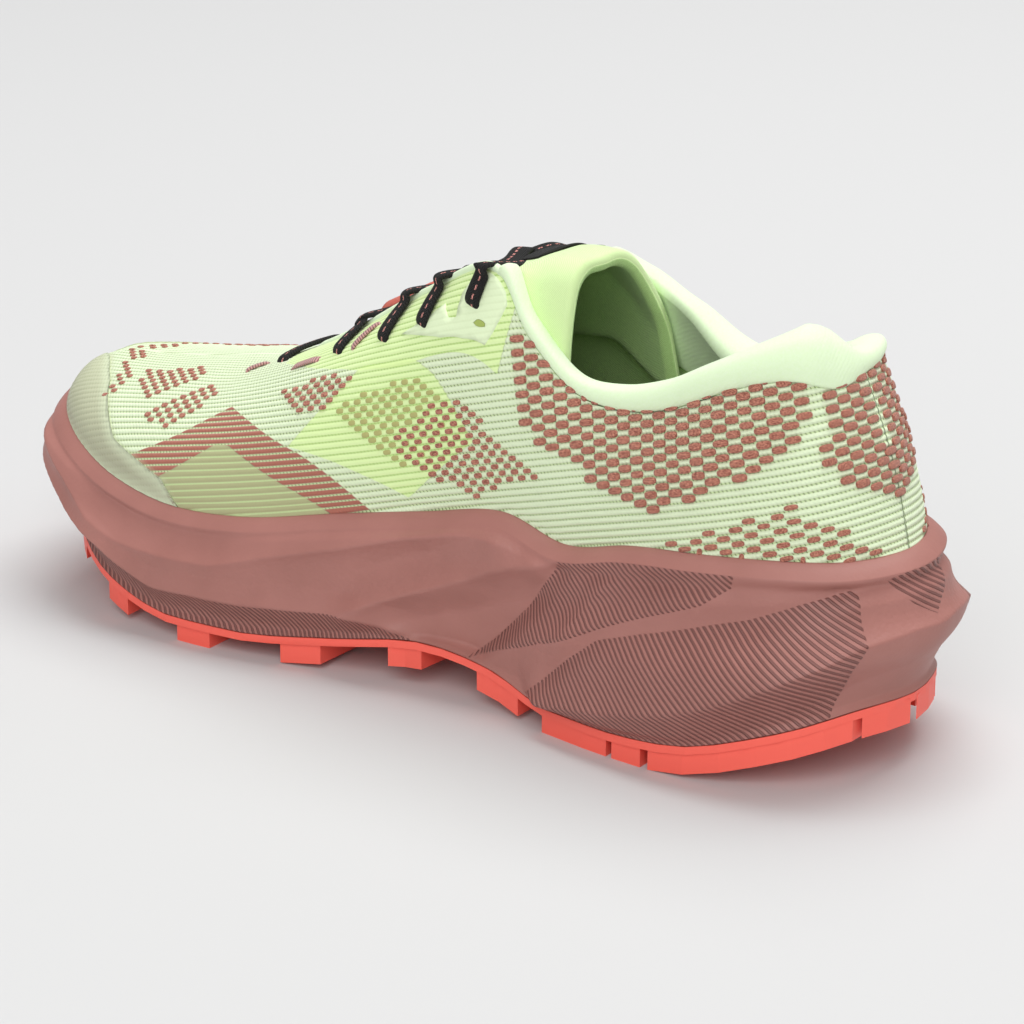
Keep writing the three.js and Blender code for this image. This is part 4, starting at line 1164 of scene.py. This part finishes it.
def collar_sections(place):
    """Sections of the roll and its lining pad inside the wall."""
    pad = pad_at(place)
    one = brim(place)
    edge = upper_point(place, one)
    outward = upper_normal(place, one)
    rise = unit(edge - upper_point(place, one - WALL_ROW))
    height = mix(ROLL_HEIGHT * 0.45, ROLL_HEIGHT, (pad - PAD_AT_CORNER) / (PAD_THICKNESS - PAD_AT_CORNER))
    liner = UPPER_WALL + GAP
    heel = smooth(1.3 - mirrored(place) / 2.4)
    height = 0.9 * height + eased_table(HEEL_CREST, "place", "rise", place)
    parts = []
    for out, up in ROLL_OUTLINE:
        reach = out * pad * (1 - HEEL_SLIM * heel) if out > 0 else out * pad - liner * min(1, -2 * out)
        lift = up - (HEEL_OVERLAP * heel * (1 - up) if out > 0 else 0)
        parts.append(edge + outward * reach[:, None] + rise * (GAP + lift * height)[:, None])
    for k, share in enumerate((1.0, 0.75, 0.25)):
        parts.append(inset_point(place, one - (k + 1) * WALL_ROW, liner + pad * share))
    for k in (2, 1, 0):
        parts.append(inset_point(place, one - (k + 1) * WALL_ROW, liner * one))
    parts.append(inset_point(place, one, liner * one) + rise * GAP)
    return np.stack(parts, 1)


def ripple(points, pitch, height, seed):
    """Slow uneven swelling of cloth over foam, in millimetres."""
    turn = np.random.default_rng(seed).normal(size=(6, 3))
    waves = [np.sin(points @ row / pitch * 2 + k * 1.7) for k, row in enumerate(turn)]
    return height * np.mean(waves, axis=0)


def build_collar():
    place = np.linspace(-CORNER, CORNER, COLLAR_COLUMNS)
    rings = smooth_loop(collar_sections(place), COLLAR_ROUND)
    middle = rings.mean(axis=1, keepdims=True)
    end = np.minimum(np.arange(COLLAR_COLUMNS), np.arange(COLLAR_COLUMNS)[::-1])
    closing = np.sqrt(1 - (1 - np.clip((end + 0.35) / 6, 0, 1)) ** 2)
    rings = mix(middle, rings, closing[:, None, None])
    rings += unit(rings - middle) * ripple(rings, 16, 0.35, 3)[..., None]
    points = np.concatenate((rings.reshape(-1, 3), middle[0], middle[-1]))
    faces = grid_quads(COLLAR_COLUMNS, COLLAR_ROUND, True).tolist()
    last = (COLLAR_COLUMNS - 1) * COLLAR_ROUND
    tip = COLLAR_COLUMNS * COLLAR_ROUND
    for k in range(COLLAR_ROUND):
        after = (k + 1) % COLLAR_ROUND
        faces.append([tip, after, k])
        faces.append([tip + 1, last + k, last + after])
    if enclosed(points, np.array(faces[:-2 * COLLAR_ROUND])) < 0:
        faces = [face[::-1] for face in faces]
    made = add_object("collar_padding", points, faces, PADDING_FINISH, "padding")
    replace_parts(made, "collar")
    return made


# Arch of the tongue: crown height, and how square it is on the inner and the outer half
TONGUE = table(("place", "height", "inner_full", "outer_full"), (
    (5.42, 1.020, 9.0, 1.7), (6.0, 1.015, 7.0, 2.0), (6.6, 1.000, 5.0, 2.6), (7.2, 0.975, 3.0, 3.0),
    (8.0, 0.880, 2.0, 2.0), (9.0, 0.740, 2.0, 2.0), (10.0, 0.600, 2.0, 2.0), (11.0, 0.560, 2.0, 2.0),
))
TONGUE_THICKNESS = 3.2
TONGUE_RIM = 5.0
TONGUE_FROM = 5.42
TONGUE_TO = 10.333
TONGUE_STATIONS = 130
TONGUE_ACROSS = 96
RIM_ROUND = 0.13
OUTER_DROP = 0.15
ARCH_SHARES = (0, 0.02, 0.05, 0.1, 0.2, 0.35, 0.5, 0.65, 0.78, 0.9, 1)


def tongue_inset(place):
    liner = UPPER_WALL + 2 * GAP
    return mix(liner + 0.8 * pad_at(place) + GAP, liner, smooth(place - CORNER))


def outer_drop(place):
    """How much lower the tongue's outer leg starts near its rim, as a share of the upper."""
    return OUTER_DROP * smooth(1 - (place - TONGUE_FROM) / 1.3)


def tongue_point(place, share, depth):
    """Tongue's arch between the inner (0) and the outer (1) side, at a depth below its outer face."""
    inset = tongue_inset(place) + depth
    top = np.ones_like(place)
    outer = inset_point(-place, top - outer_drop(place), inset)
    point = mix(inset_point(place, top, inset), outer, share)
    crown = np.interp(place, TONGUE["place"], TONGUE["height"]) * TOP_HEIGHT
    full = np.interp(place, TONGUE["place"], TONGUE["inner_full" if share < 0.5 else "outer_full"])
    rise = np.maximum(0, crown - depth - point[:, 2]) * (1 - abs(2 * share - 1) ** full)
    point[:, 2] += np.where(place < THROAT, rise, 0)
    return point


def tongue_row(place, depth):
    """Sections of the tongue from one leg over the arch to the other."""
    place, depth = np.broadcast_arrays(place, depth)
    inset = tongue_inset(place) + depth
    top = np.ones_like(place)
    legs = (3, 2, 1)
    row = [inset_point(place, top - k * WALL_ROW, inset) for k in legs]
    row += [tongue_point(place, share, depth) for share in ARCH_SHARES]
    row += [inset_point(-place, top - outer_drop(place) - k * WALL_ROW, inset) for k in legs[::-1]]
    return np.stack(row, 1)


def smooth_rows(points, count):
    """Open smooth rows through rows of points."""
    place = np.linspace(0, points.shape[1] - 1, count)
    return np.stack([cubic(row, place) for row in points])


def tongue_rings():
    """Closed sections of the tongue, thick at its rolled rim and thin at both sides."""
    place = np.linspace(TONGUE_FROM, TONGUE_TO, TONGUE_STATIONS)
    place[:12] = TONGUE_FROM + RIM_ROUND * (1 - np.cos(np.linspace(0, math.pi / 2, 12)))
    away = np.clip((place - TONGUE_FROM) / RIM_ROUND, 0, 1)
    plump = np.sqrt(1 - (1 - away) ** 2)
    rows = TONGUE_ACROSS
    side = np.clip(np.minimum(np.arange(rows), np.arange(rows)[::-1]) / 4, 0, 1)
    round_side = np.sqrt(1 - (1 - side) ** 2)
    thickness = mix(TONGUE_RIM, TONGUE_THICKNESS, smooth((place - TONGUE_FROM) / 0.7))
    outer = smooth_rows(tongue_row(place, 0.0), rows)
    inner = smooth_rows(tongue_row(place, thickness), rows)
    swelling = ripple(outer, 14, 0.5, 8)[..., None] * np.array((0, 0, 1.0))
    outer, inner = outer + swelling, inner + swelling
    middle = 0.5 * (outer + inner)
    fullness = (plump[:, None] * round_side[None, :])[..., None]
    outer, inner = mix(middle, outer, fullness), mix(middle, inner, fullness)
    return np.concatenate((outer, inner[:, ::-1]), axis=1)


def build_tongue():
    rings = tongue_rings()
    rows = TONGUE_ACROSS
    count = rings.shape[1]
    faces = grid_quads(TONGUE_STATIONS, count, True)
    points = rings.reshape(-1, 3)
    last = (TONGUE_STATIONS - 1) * count
    caps = []
    for first, flip in ((0, False), (last, True)):
        for k in range(rows - 1):
            cap = [first + k, first + k + 1, first + count - 2 - k, first + count - 1 - k]
            caps.append(cap[::-1] if flip else cap)
    faces = np.concatenate((faces, np.array(caps)))
    if enclosed(points, faces) < 0:
        faces = faces[:, ::-1]
    made = add_object("tongue_padding", points, faces.tolist(), TONGUE_FINISH, "tongue_cloth")
    made.data.materials.append(LINING_FINISH)
    under_face = (faces % count >= rows).sum(axis=1) > 2
    made.data.polygons.foreach_set("material_index", under_face.astype(np.int32))
    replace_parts(made, "tongue")
    return made


def build_tongue_cloth(graph, place):
    weave = graph.node("ShaderNodeTexWave", {"Vector": place, "Scale": 1100.0, "Distortion": 1.0},
                       bands_direction="DIAGONAL").outputs[1]
    soft = graph.noise(place, 1500.0, 2.0)
    colour = graph.blend(weave, TONGUE_CLOTH, TONGUE_LOW)
    return {"Base Color": colour, "Roughness": 0.9,
            "Normal": bump(graph, graph.math("ADD", weave, soft), 0.06)}


TONGUE_FINISH = finish("tongue_cloth", build_tongue_cloth, **FABRIC)


# Films on the knit

EYESTAY_FILM = ((7.92, 0.742), (7.62, 0.80), (7.48, 0.838), (7.42, 0.80), (7.33, 0.76), (7.21, 0.758),
                (7.25, 0.81), (7.28, 0.87), (7.20, 0.98), (6.62, 0.98), (6.52, 0.953), (6.55, 0.88),
                (6.60, 0.78), (6.66, 0.707), (7.0, 0.675), (7.33, 0.672), (7.6, 0.70))
SPARE_EYELET = (6.835, 0.766)
EYELET_TURN = np.array(((0.9, 0.42), (-0.42, 0.9)))
EYELET_HALF_SIZE = (2.3, 1.1)
TOE_GUARD = ((9.92, 0.0), (10.2, 0.12), (10.6, 0.165), (11.2, 0.22), (11.75, 0.37), (12.4, 0.53),
             (13.1, 0.64), (13.6, 0.70), (14.3, 0.745), (15, 0.76))
FILM_LIFT = 0.32


def dense_outline(polygon, step):
    corners = np.array(polygon) * CHART
    parts = []
    for start, end in zip(corners, np.roll(corners, -1, axis=0)):
        count = max(1, int(np.linalg.norm(end - start) / step))
        parts += [mix(start, end, k / count) for k in range(count)]
    return np.array(parts)


def film(name, polygon, mirror, lift, finish_used, slot, step=1.5):
    """Thin film over part of the upper, with the outline of a polygon of [place, share] corners."""
    outline = dense_outline(polygon, step)
    low, high = outline.min(axis=0), outline.max(axis=0)
    x, y = np.meshgrid(np.arange(low[0], high[0], step), np.arange(low[1], high[1], step))
    fill = np.stack((x.ravel(), y.ravel()), -1)
    fill = fill[signed_distance(fill, outline) > 0.6 * step]
    edges = [(k, (k + 1) % len(outline)) for k in range(len(outline))]
    corners = [Vector(p) for p in np.concatenate((outline, fill)).tolist()]
    found, _, triangles, *_ = delaunay_2d_cdt(corners, edges, [], 1, 1e-6)
    flat = np.array([(p.x, p.y) for p in found]) / CHART
    place = -flat[:, 0] if mirror else flat[:, 0]
    share = flat[:, 1]
    normal = upper_normals(place, share)
    base = upper_point(place, share)
    relief = 0.6 * rib_relief(place, share)[:, None]
    top = base + normal * (lift + relief)
    count = len(flat)
    edge = np.arange(len(outline))
    after = (edge + 1) % len(outline)
    foot = base[edge] - normal[edge] * 0.1
    triangles = [list(t) for t in triangles]
    a, b, c = (top[triangles[0][k]] for k in range(3))
    if np.dot(np.cross(b - a, c - a), normal[triangles[0][0]]) < 0:
        triangles = [t[::-1] for t in triangles]
    walls = [[int(e), int(f), int(count + f), int(count + e)] for e, f in zip(edge, after)]
    made = add_object(name, np.concatenate((top, foot)), triangles + walls, finish_used, slot)
    grid_place, grid_share = np.concatenate((place, place[edge])), np.concatenate((share, share[edge]))
    add_uv(made, "knit", knit_at(grid_place, grid_share))
    add_value(made, "level", grid_share)
    add_value(made, "margin", signed_distance(np.stack((grid_place, grid_share), -1) * CHART, outline))
    spot = (chart_of(grid_place, grid_share) - np.array(SPARE_EYELET) * CHART) @ EYELET_TURN
    add_value(made, "eyelet", 1.0 - np.linalg.norm(spot / np.array(EYELET_HALF_SIZE), axis=-1))
    return made


def build_films():
    for side, mirror in BOTH_SIDES:
        name = f"eyestay_{side}"
        made = film(f"{name}_film", EYESTAY_FILM, mirror, FILM_LIFT, PATCH_FINISH, "eyestay_film")
        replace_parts(made, name)
    round_toe = TOE_GUARD + tuple((LOOP - place, share) for place, share in TOE_GUARD[-2::-1])
    made = film("toe_guard_film", round_toe, False, 0.4, TOE_FINISH, "film")
    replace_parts(made, "toe_guard")


# The stitched floats of the knit

def lattice(pitch):
    """Places of a brick lattice that follows the ribs of the inner side."""
    place, share = np.meshgrid(np.linspace(0.02, LAST, 1400), np.linspace(-0.02, 1, 420), indexing="ij")
    place, share = place.ravel(), share.ravel()
    along, across = np.moveaxis(knit_at(place, np.clip(share, 0, 1)), -1, 0)
    row = np.round(across / RIB_PITCH)
    shift = np.where(np.mod(row, 2) == 0, 0, pitch)
    column = np.round((along - shift) / (2 * pitch))
    miss = (across - row * RIB_PITCH) ** 2 + (along - shift - column * 2 * pitch) ** 2
    order = np.argsort(miss)
    keys = (row * 4096 + column)[order]
    _, first = np.unique(keys, return_index=True)
    chosen = order[first]
    chosen = chosen[miss[chosen] < 0.3]
    return place[chosen], share[chosen]


def pick(spots, zones):
    place, share = spots
    chart = np.stack((place, share), -1) * CHART
    keep = np.any([inside(chart, np.array(zone) * CHART) for zone in zones], axis=0)
    return place[keep], share[keep]


def stitch_points(name, place, share, lift):
    """Points on both sides of the upper that know which way the ribs and the face run."""
    place = np.concatenate((place, -place))
    share = np.concatenate((share, share))
    base = upper_point(place, share)
    out = upper_normals(place, share)
    ahead, up = 0.02, 0.004
    run = knit_at(place + ahead, share) - knit_at(place - ahead, share)
    climb = knit_at(place, share + up) - knit_at(place, share - up)
    step_run = upper_point(place + ahead, share) - upper_point(place - ahead, share)
    step_climb = upper_point(place, share + up) - upper_point(place, share - up)
    along = unit(step_run * climb[:, 1:] - step_climb * run[:, 1:])
    mesh = bpy.data.meshes.new(name)
    mesh.from_pydata(((base + out * lift + ORIGIN) * MM).tolist(), [], [])
    for label, values in (("along", along), ("out", out)):
        layer = mesh.attributes.new(label, "FLOAT_VECTOR", "POINT")
        layer.data.foreach_set("vector", values.astype(np.float32).ravel())
    made = bpy.data.objects.new(name, mesh)
    bpy.context.scene.collection.objects.link(made)
    return made


def stitch_tool():
    """Geometry nodes: one yarn bead on every point, turned along its rib."""
    tree = bpy.data.node_groups.new("Stitches", "GeometryNodeTree")
    sockets = {}
    for label, kind, start in (("Points", "NodeSocketGeometry", None), ("Length", NUMBER, 3.0 * MM),
                               ("Width", NUMBER, 2.0 * MM), ("Height", NUMBER, 0.8 * MM),
                               ("Finish", "NodeSocketMaterial", None)):
        socket = tree.interface.new_socket(label, in_out="INPUT", socket_type=kind)
        if start is not None:
            socket.default_value = start
        sockets[label] = socket.identifier
    tree.interface.new_socket("Geometry", in_out="OUTPUT", socket_type="NodeSocketGeometry")
    graph = Graph(tree)
    given = tree.nodes.new("NodeGroupInput").outputs
    cube = graph.node("GeometryNodeMeshCube", {"Size": (1, 1, 1)})
    round_cube = graph.node("GeometryNodeSubdivisionSurface", {"Mesh": cube.outputs[0], "Level": 2,
                                                               "Edge Crease": 0.25})
    size = graph.node("ShaderNodeCombineXYZ", {0: given["Length"], 1: given["Width"], 2: given["Height"]})
    bead = graph.node("GeometryNodeTransform", {"Geometry": round_cube.outputs[0], "Scale": size.outputs[0]})
    out, along = (graph.node("GeometryNodeInputNamedAttribute", {"Name": name},
                             data_type="FLOAT_VECTOR").outputs[0] for name in ("out", "along"))
    turn = graph.node("FunctionNodeAxesToRotation", {0: out, 1: along},
                      primary_axis="Z", secondary_axis="X")
    jitter = graph.node("FunctionNodeRandomValue", {"Min": (0.92,) * 3, "Max": (1.08,) * 3, "Seed": 5},
                        data_type="FLOAT_VECTOR")
    spread = graph.node("GeometryNodeInstanceOnPoints", {
        "Points": given["Points"], "Instance": bead.outputs[0],
        "Rotation": turn.outputs[0], "Scale": jitter.outputs[0]})
    real = graph.node("GeometryNodeRealizeInstances", {"Geometry": spread.outputs[0]})
    shade = graph.node("GeometryNodeSetShadeSmooth", {"Geometry": real.outputs[0]})
    coloured = graph.node("GeometryNodeSetMaterial", {"Geometry": shade.outputs[0],
                                                      "Material": given["Finish"]})
    target = tree.nodes.new("NodeGroupOutput")
    tree.links.new(coloured.outputs[0], target.inputs["Geometry"])
    return tree, sockets


def build_stitches(name, tool, spots, size, lift, finish_used, slot):
    tree, sockets = tool
    made = stitch_points(name, *spots, lift)
    work = made.modifiers.new("stitches", "NODES")
    work.node_group = tree
    for label, value in zip(("Length", "Width", "Height"), size):
        work[sockets[label]] = value * MM
    work[sockets["Finish"]] = finish_used
    return settle(made, slot)


def build_filmed_float(graph, place):
    return {"Base Color": YARN_UNDER_FILM, "Roughness": 0.5,
            "Normal": bump(graph, graph.noise(place, 1500.0), 0.1)}


FILMED_FLOAT = finish("filmed_yarn", build_filmed_float)

# Fields of stitches: zones, pitch along the ribs, size of a stitch, lift and finish
CLOSE_PITCH = FLOAT_PITCH * 0.56
STITCHES = (
    ("float_stitches", FLOAT_ZONES, FLOAT_PITCH, (4.5, 2.15, 1.2), 0.30, FLOAT_FINISH),
    ("heel_stitches", (HEEL_DOTS,), FLOAT_PITCH, (4.0, 1.55, 0.8), 0.25, FLOAT_FINISH),
    ("side_stitches", MID_DOTS, CLOSE_PITCH, (2.7, 1.5, 0.8), 0.22, FLOAT_FINISH),
    ("toe_stitches", TOE_DOTS, CLOSE_PITCH, (2.3, 1.6, 0.8), 0.22, FLOAT_FINISH),
    ("filmed_stitches", FILMED_DOTS, CLOSE_PITCH, (2.7, 1.5, 0.7), 0.18, FILMED_FLOAT),
)


def build_floats():
    tool = stitch_tool()
    spots = {pitch: lattice(pitch) for pitch in (FLOAT_PITCH, CLOSE_PITCH)}
    for name, zones, pitch, size, lift, finish_used in STITCHES:
        build_stitches(name, tool, pick(spots[pitch], zones), size, lift, finish_used, "knit")


# The lace

LACE_WIDTH = 5.6
LACE_THICKNESS = 1.5
EYELETS = ((7.06, 0.84), (7.70, 0.785), (8.18, 0.77), (8.78, 0.80))
FRONT_EYELET = (9.80, 0.86)
# Rolled edge of the throat: radius, place in and above the edge, and loop places of its ends
EDGE_ROLL = 1.3
EDGE_SUNK = 0.8
EDGE_RISE = 0.7
EDGE_SPAN = (6.75, 9.75)
EDGE_ROWS = 90
EDGE_ROUND = 14
# Slot loops: both ends of each, then its lifts in millimetres by share of its length, width and thickness
SLOTS = (((8.56, 0.765), (8.46, 0.89)), ((9.31, 0.74), (9.02, 0.765)), ((10.20, 0.78), (10.05, 0.84)))
SLOT_ARCH = ((-0.12, -0.8), (0.06, 0.45), (0.5, 0.7), (0.94, 0.45), (1.12, -0.8))
SLOT_SIZE = (2.4, 0.8)


def tongue_top(place, share, lift):
    """Point over the tongue's arch: share 0 at the inner leg, 1 at the outer."""
    return tongue_point(np.array([float(place)]), share, 0.0)[0] + (0, 0, lift)


def closed_tube(name, rings, finish_used, slot):
    """Closed body from equal rings of points, with a flat cap at both ends."""
    count = rings.shape[1]
    points = rings.reshape(-1, 3)
    faces = grid_quads(len(rings), count, True)
    last = (len(rings) - 1) * count
    caps = [list(range(count))[::-1], list(range(last, last + count))]
    if enclosed(points, faces) < 0:
        faces = faces[:, ::-1]
        caps = [cap[::-1] for cap in caps]
    return add_object(name, points, faces.tolist() + caps, finish_used, slot)


def swept(name, line, up, wide, high, finish_used, slot):
    """Closed body along a line. wide and high are its section's places, shared or one row for each point."""
    run = unit(np.gradient(line, axis=0))
    across = unit(np.cross(run, up))
    up = np.cross(across, run)
    wide, high = (np.broadcast_to(side, (len(line), wide.shape[-1])) for side in (wide, high))
    rings = line[:, None] + across[:, None] * wide[..., None] + up[:, None] * high[..., None]
    made = closed_tube(name, rings, finish_used, slot)
    run = distance_along(line)[:, None]
    add_uv(made, "run", np.stack(np.broadcast_arrays(run, wide), -1).reshape(-1, 2))
    return made


def round_section(width, thickness, count=16):
    """Flat oval section, nearly a rectangle with round sides."""
    turn = np.linspace(0, 2 * math.pi, count, endpoint=False)
    wide = np.sign(np.cos(turn)) * np.abs(np.cos(turn)) ** 0.55 * width / 2
    high = np.sign(np.sin(turn)) * np.abs(np.sin(turn)) ** 0.7 * thickness / 2
    return wide, high


def ribbon(name, stops, ups, finish_used, slot, replaced=(), width=LACE_WIDTH, thickness=LACE_THICKNESS):
    """Flat woven tape through stops, its flat side facing the ups."""
    stops, ups = np.array(stops), unit(np.array(ups, float))
    place = np.linspace(0, len(stops) - 1, (len(stops) - 1) * 9 + 1)
    wide, high = round_section(width, thickness)
    made = swept(name, cubic(stops, place), unit(cubic(ups, place)), wide, high, finish_used, slot)
    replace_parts(made, *replaced)
    return made


def on_upper(place, share, lift):
    """Point at a height over the upper, and the way out."""
    at, level = np.array([float(place)]), np.array([float(share)])
    normal = upper_normals(at, level)[0]
    return upper_point(at, level)[0] + normal * lift, normal


def climb(eyelet, mirror):
    """Stops of a lace from under its eyelet over the throat's rolled edge."""
    place, share = eyelet
    side = -place if mirror else place
    levels = (share - 0.035, share - 0.005, mix(share, 1, 0.35), mix(share, 1, 0.75), 1.0)
    lifts = (-1.6, 0.7, 1.2, 1.4, 2.5)
    stops, ups = zip(*(on_upper(side, level, lift) for level, lift in zip(levels, lifts)))
    return list(stops), list(ups)


def lace_run(start, end, mirror):
    """Stops of a lace from its eyelet over the tongue to under the far edge."""
    stops, ups = climb(start, mirror)
    for share in (0.24, 0.42, 0.58, 0.74, 0.90):
        over = 1 - share if mirror else share
        lift = 1.1 + (1.5 if mirror and 0.3 < share < 0.7 else 0)
        stops.append(tongue_top(mix(start[0], end[0], share), over, lift))
        ups.append((0, 0, 1))
    return stops, ups


def build_laces():
    for k in range(1, len(EYELETS)):
        for side, mirror in BOTH_SIDES:
            replaced = () if mirror else (f"lace_crossing_{k}",)
            stops, ups = lace_run(EYELETS[k], EYELETS[k - 1], mirror)
            ribbon(f"lace_{side}_{k}", stops, ups, LACE_FINISH, "lace", replaced)
    inner, inner_ups = climb(FRONT_EYELET, False)
    outer, outer_ups = climb(FRONT_EYELET, True)
    ribbon("lace_bar_front", inner[:4] + outer[3::-1], inner_ups[:4] + outer_ups[3::-1], LACE_FINISH,
           "lace", ("lace_bar",))
    for side, mirror in BOTH_SIDES:
        stops, ups = climb(EYELETS[0], mirror)
        for share, lift in ((0.13, 0.7), (0.26, -0.5)):
            stops.append(tongue_top(EYELETS[0][0], 1 - share if mirror else share, lift))
            ups.append((0, 0, 1))
        ribbon(f"lace_end_{side}", stops, ups, LACE_FINISH, "lace")


def build_slots():
    """Short woven loops that lie flat on the upper beside the lace."""
    for k, (start, end) in enumerate(SLOTS):
        for side, mirror in BOTH_SIDES:
            stops, ups = [], []
            for t, lift in SLOT_ARCH:
                place, share = mix(np.array(start), np.array(end), t)
                stop, normal = on_upper(-place if mirror else place, share, lift)
                stops.append(stop)
                ups.append(normal)
            ribbon(f"slot_{side}_{k + 1}", stops, ups, SLOT_FINISH, "lace", (), *SLOT_SIZE)


def build_edge_rolls():
    """Soft piping along both edges of the throat."""
    turn = np.linspace(0, 2 * math.pi, EDGE_ROUND, endpoint=False)
    from_end = np.minimum(np.arange(EDGE_ROWS), np.arange(EDGE_ROWS)[::-1])
    size = EDGE_ROLL * np.sqrt(np.clip(from_end / 6 + 0.05, 0, 1))
    wide, high = size[:, None] * np.cos(turn), size[:, None] * np.sin(turn)
    for side, mirror in BOTH_SIDES:
        place = np.linspace(*EDGE_SPAN, EDGE_ROWS) * (-1 if mirror else 1)
        line = top_edge(place) - upper_normals(place, np.ones(EDGE_ROWS)) * EDGE_SUNK
        line[:, 2] += EDGE_RISE
        swept(f"throat_edge_{side}", line, np.array((0, 0, 1.0)), wide, high, PADDING_FINISH, "padding")


TRIM_ROWS = 14
TRIM_ACROSS = 22


def trim(name, start, end, half, lift, thickness, finish_used, slot, replaced):
    """Small woven piece lying over the tongue."""
    places = np.linspace(start, end, TRIM_ROWS)
    shares = 0.5 + np.linspace(-half, half, TRIM_ACROSS)

    def face(height):
        return np.array([[tongue_top(p, s, height) for s in shares] for p in places])
    soft = np.sqrt(1 - np.linspace(-1, 1, TRIM_ACROSS) ** 2 * 0.9)[None, :, None]
    low = face(lift)
    high = mix(low, face(lift + thickness), soft)
    rings = np.concatenate((high, low[:, ::-1]), axis=1)
    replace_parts(closed_tube(name, rings, finish_used, slot), replaced)


# Camera, light and floor

# Place in metres, the way back from the shoe, and the lens in millimetres
CAMERA = ((-0.6001, 0.7302, 0.3719), (-0.5936, 0.7330, 0.3322), 124.8)
# Area lights: name, place in metres, size in metres and power in watts
LIGHTS = (
    ("top", (0.1, -0.8, 2.5), 2.2, 64.0),
    ("fill", (-1.3, 2.4, 2.0), 2.4, 62.0),
    ("rim", (-1.5, -0.9, 1.2), 1.2, 2.0),
)
LIT_POINT = (0, 0, 0.05)
FLOOR = 9
WORLD_STRENGTH = 0.34


def build_stage():
    floor = bpy.data.meshes.new("floor")
    corners = [(-FLOOR, -FLOOR, 0), (FLOOR, -FLOOR, 0), (FLOOR, FLOOR, 0), (-FLOOR, FLOOR, 0)]
    floor.from_pydata(corners, [], [(0, 1, 2, 3)])
    ground = bpy.data.objects.new("floor", floor)
    bpy.context.scene.collection.objects.link(ground)
    floor.materials.append(finish("studio_floor", lambda graph, place: {
        "Base Color": FLOOR_GREY, "Roughness": 0.9, "Specular IOR Level": 0.1}))
    for name, place, size, power in LIGHTS:
        data = bpy.data.lights.new(name, "AREA")
        data.size = size
        data.energy = power
        lamp = bpy.data.objects.new(name, data)
        lamp.location = place
        lamp.rotation_mode = "QUATERNION"
        lamp.rotation_quaternion = (Vector(LIT_POINT) - Vector(place)).to_track_quat("-Z", "Y")
        bpy.context.scene.collection.objects.link(lamp)
    world = bpy.data.worlds.new("studio")
    world.use_nodes = True
    world.node_tree.nodes["Background"].inputs[0].default_value = (1, 1, 1, 1)
    world.node_tree.nodes["Background"].inputs[1].default_value = WORLD_STRENGTH
    bpy.context.scene.world = world


def build_camera():
    place, back, lens = CAMERA
    data = bpy.data.cameras.new("camera")
    data.lens = lens
    data.sensor_width = 36
    data.clip_start, data.clip_end = 0.05, 30
    camera = bpy.data.objects.new("camera", data)
    camera.location = place
    camera.rotation_mode = "QUATERNION"
    camera.rotation_quaternion = (-Vector(back)).to_track_quat("-Z", "Y")
    bpy.context.scene.collection.objects.link(camera)
    bpy.context.scene.camera = camera


build_upper()
build_midsole()
build_outsole()
build_insole()
build_collar()
build_tongue()
build_films()
build_floats()
build_edge_rolls()
build_laces()
build_slots()
trim("tongue_band_tape", 6.72, 7.12, 0.26, 0.3, 0.8, BAND_FINISH, "band", "tongue_band")
trim("lace_keeper_loop", 8.34, 8.90, 0.20, 2.0, 2.2, KEEPER_FINISH, "keeper", "lace_keeper")
build_stage()
build_camera()
bpy.context.scene.view_settings.view_transform = "Standard"
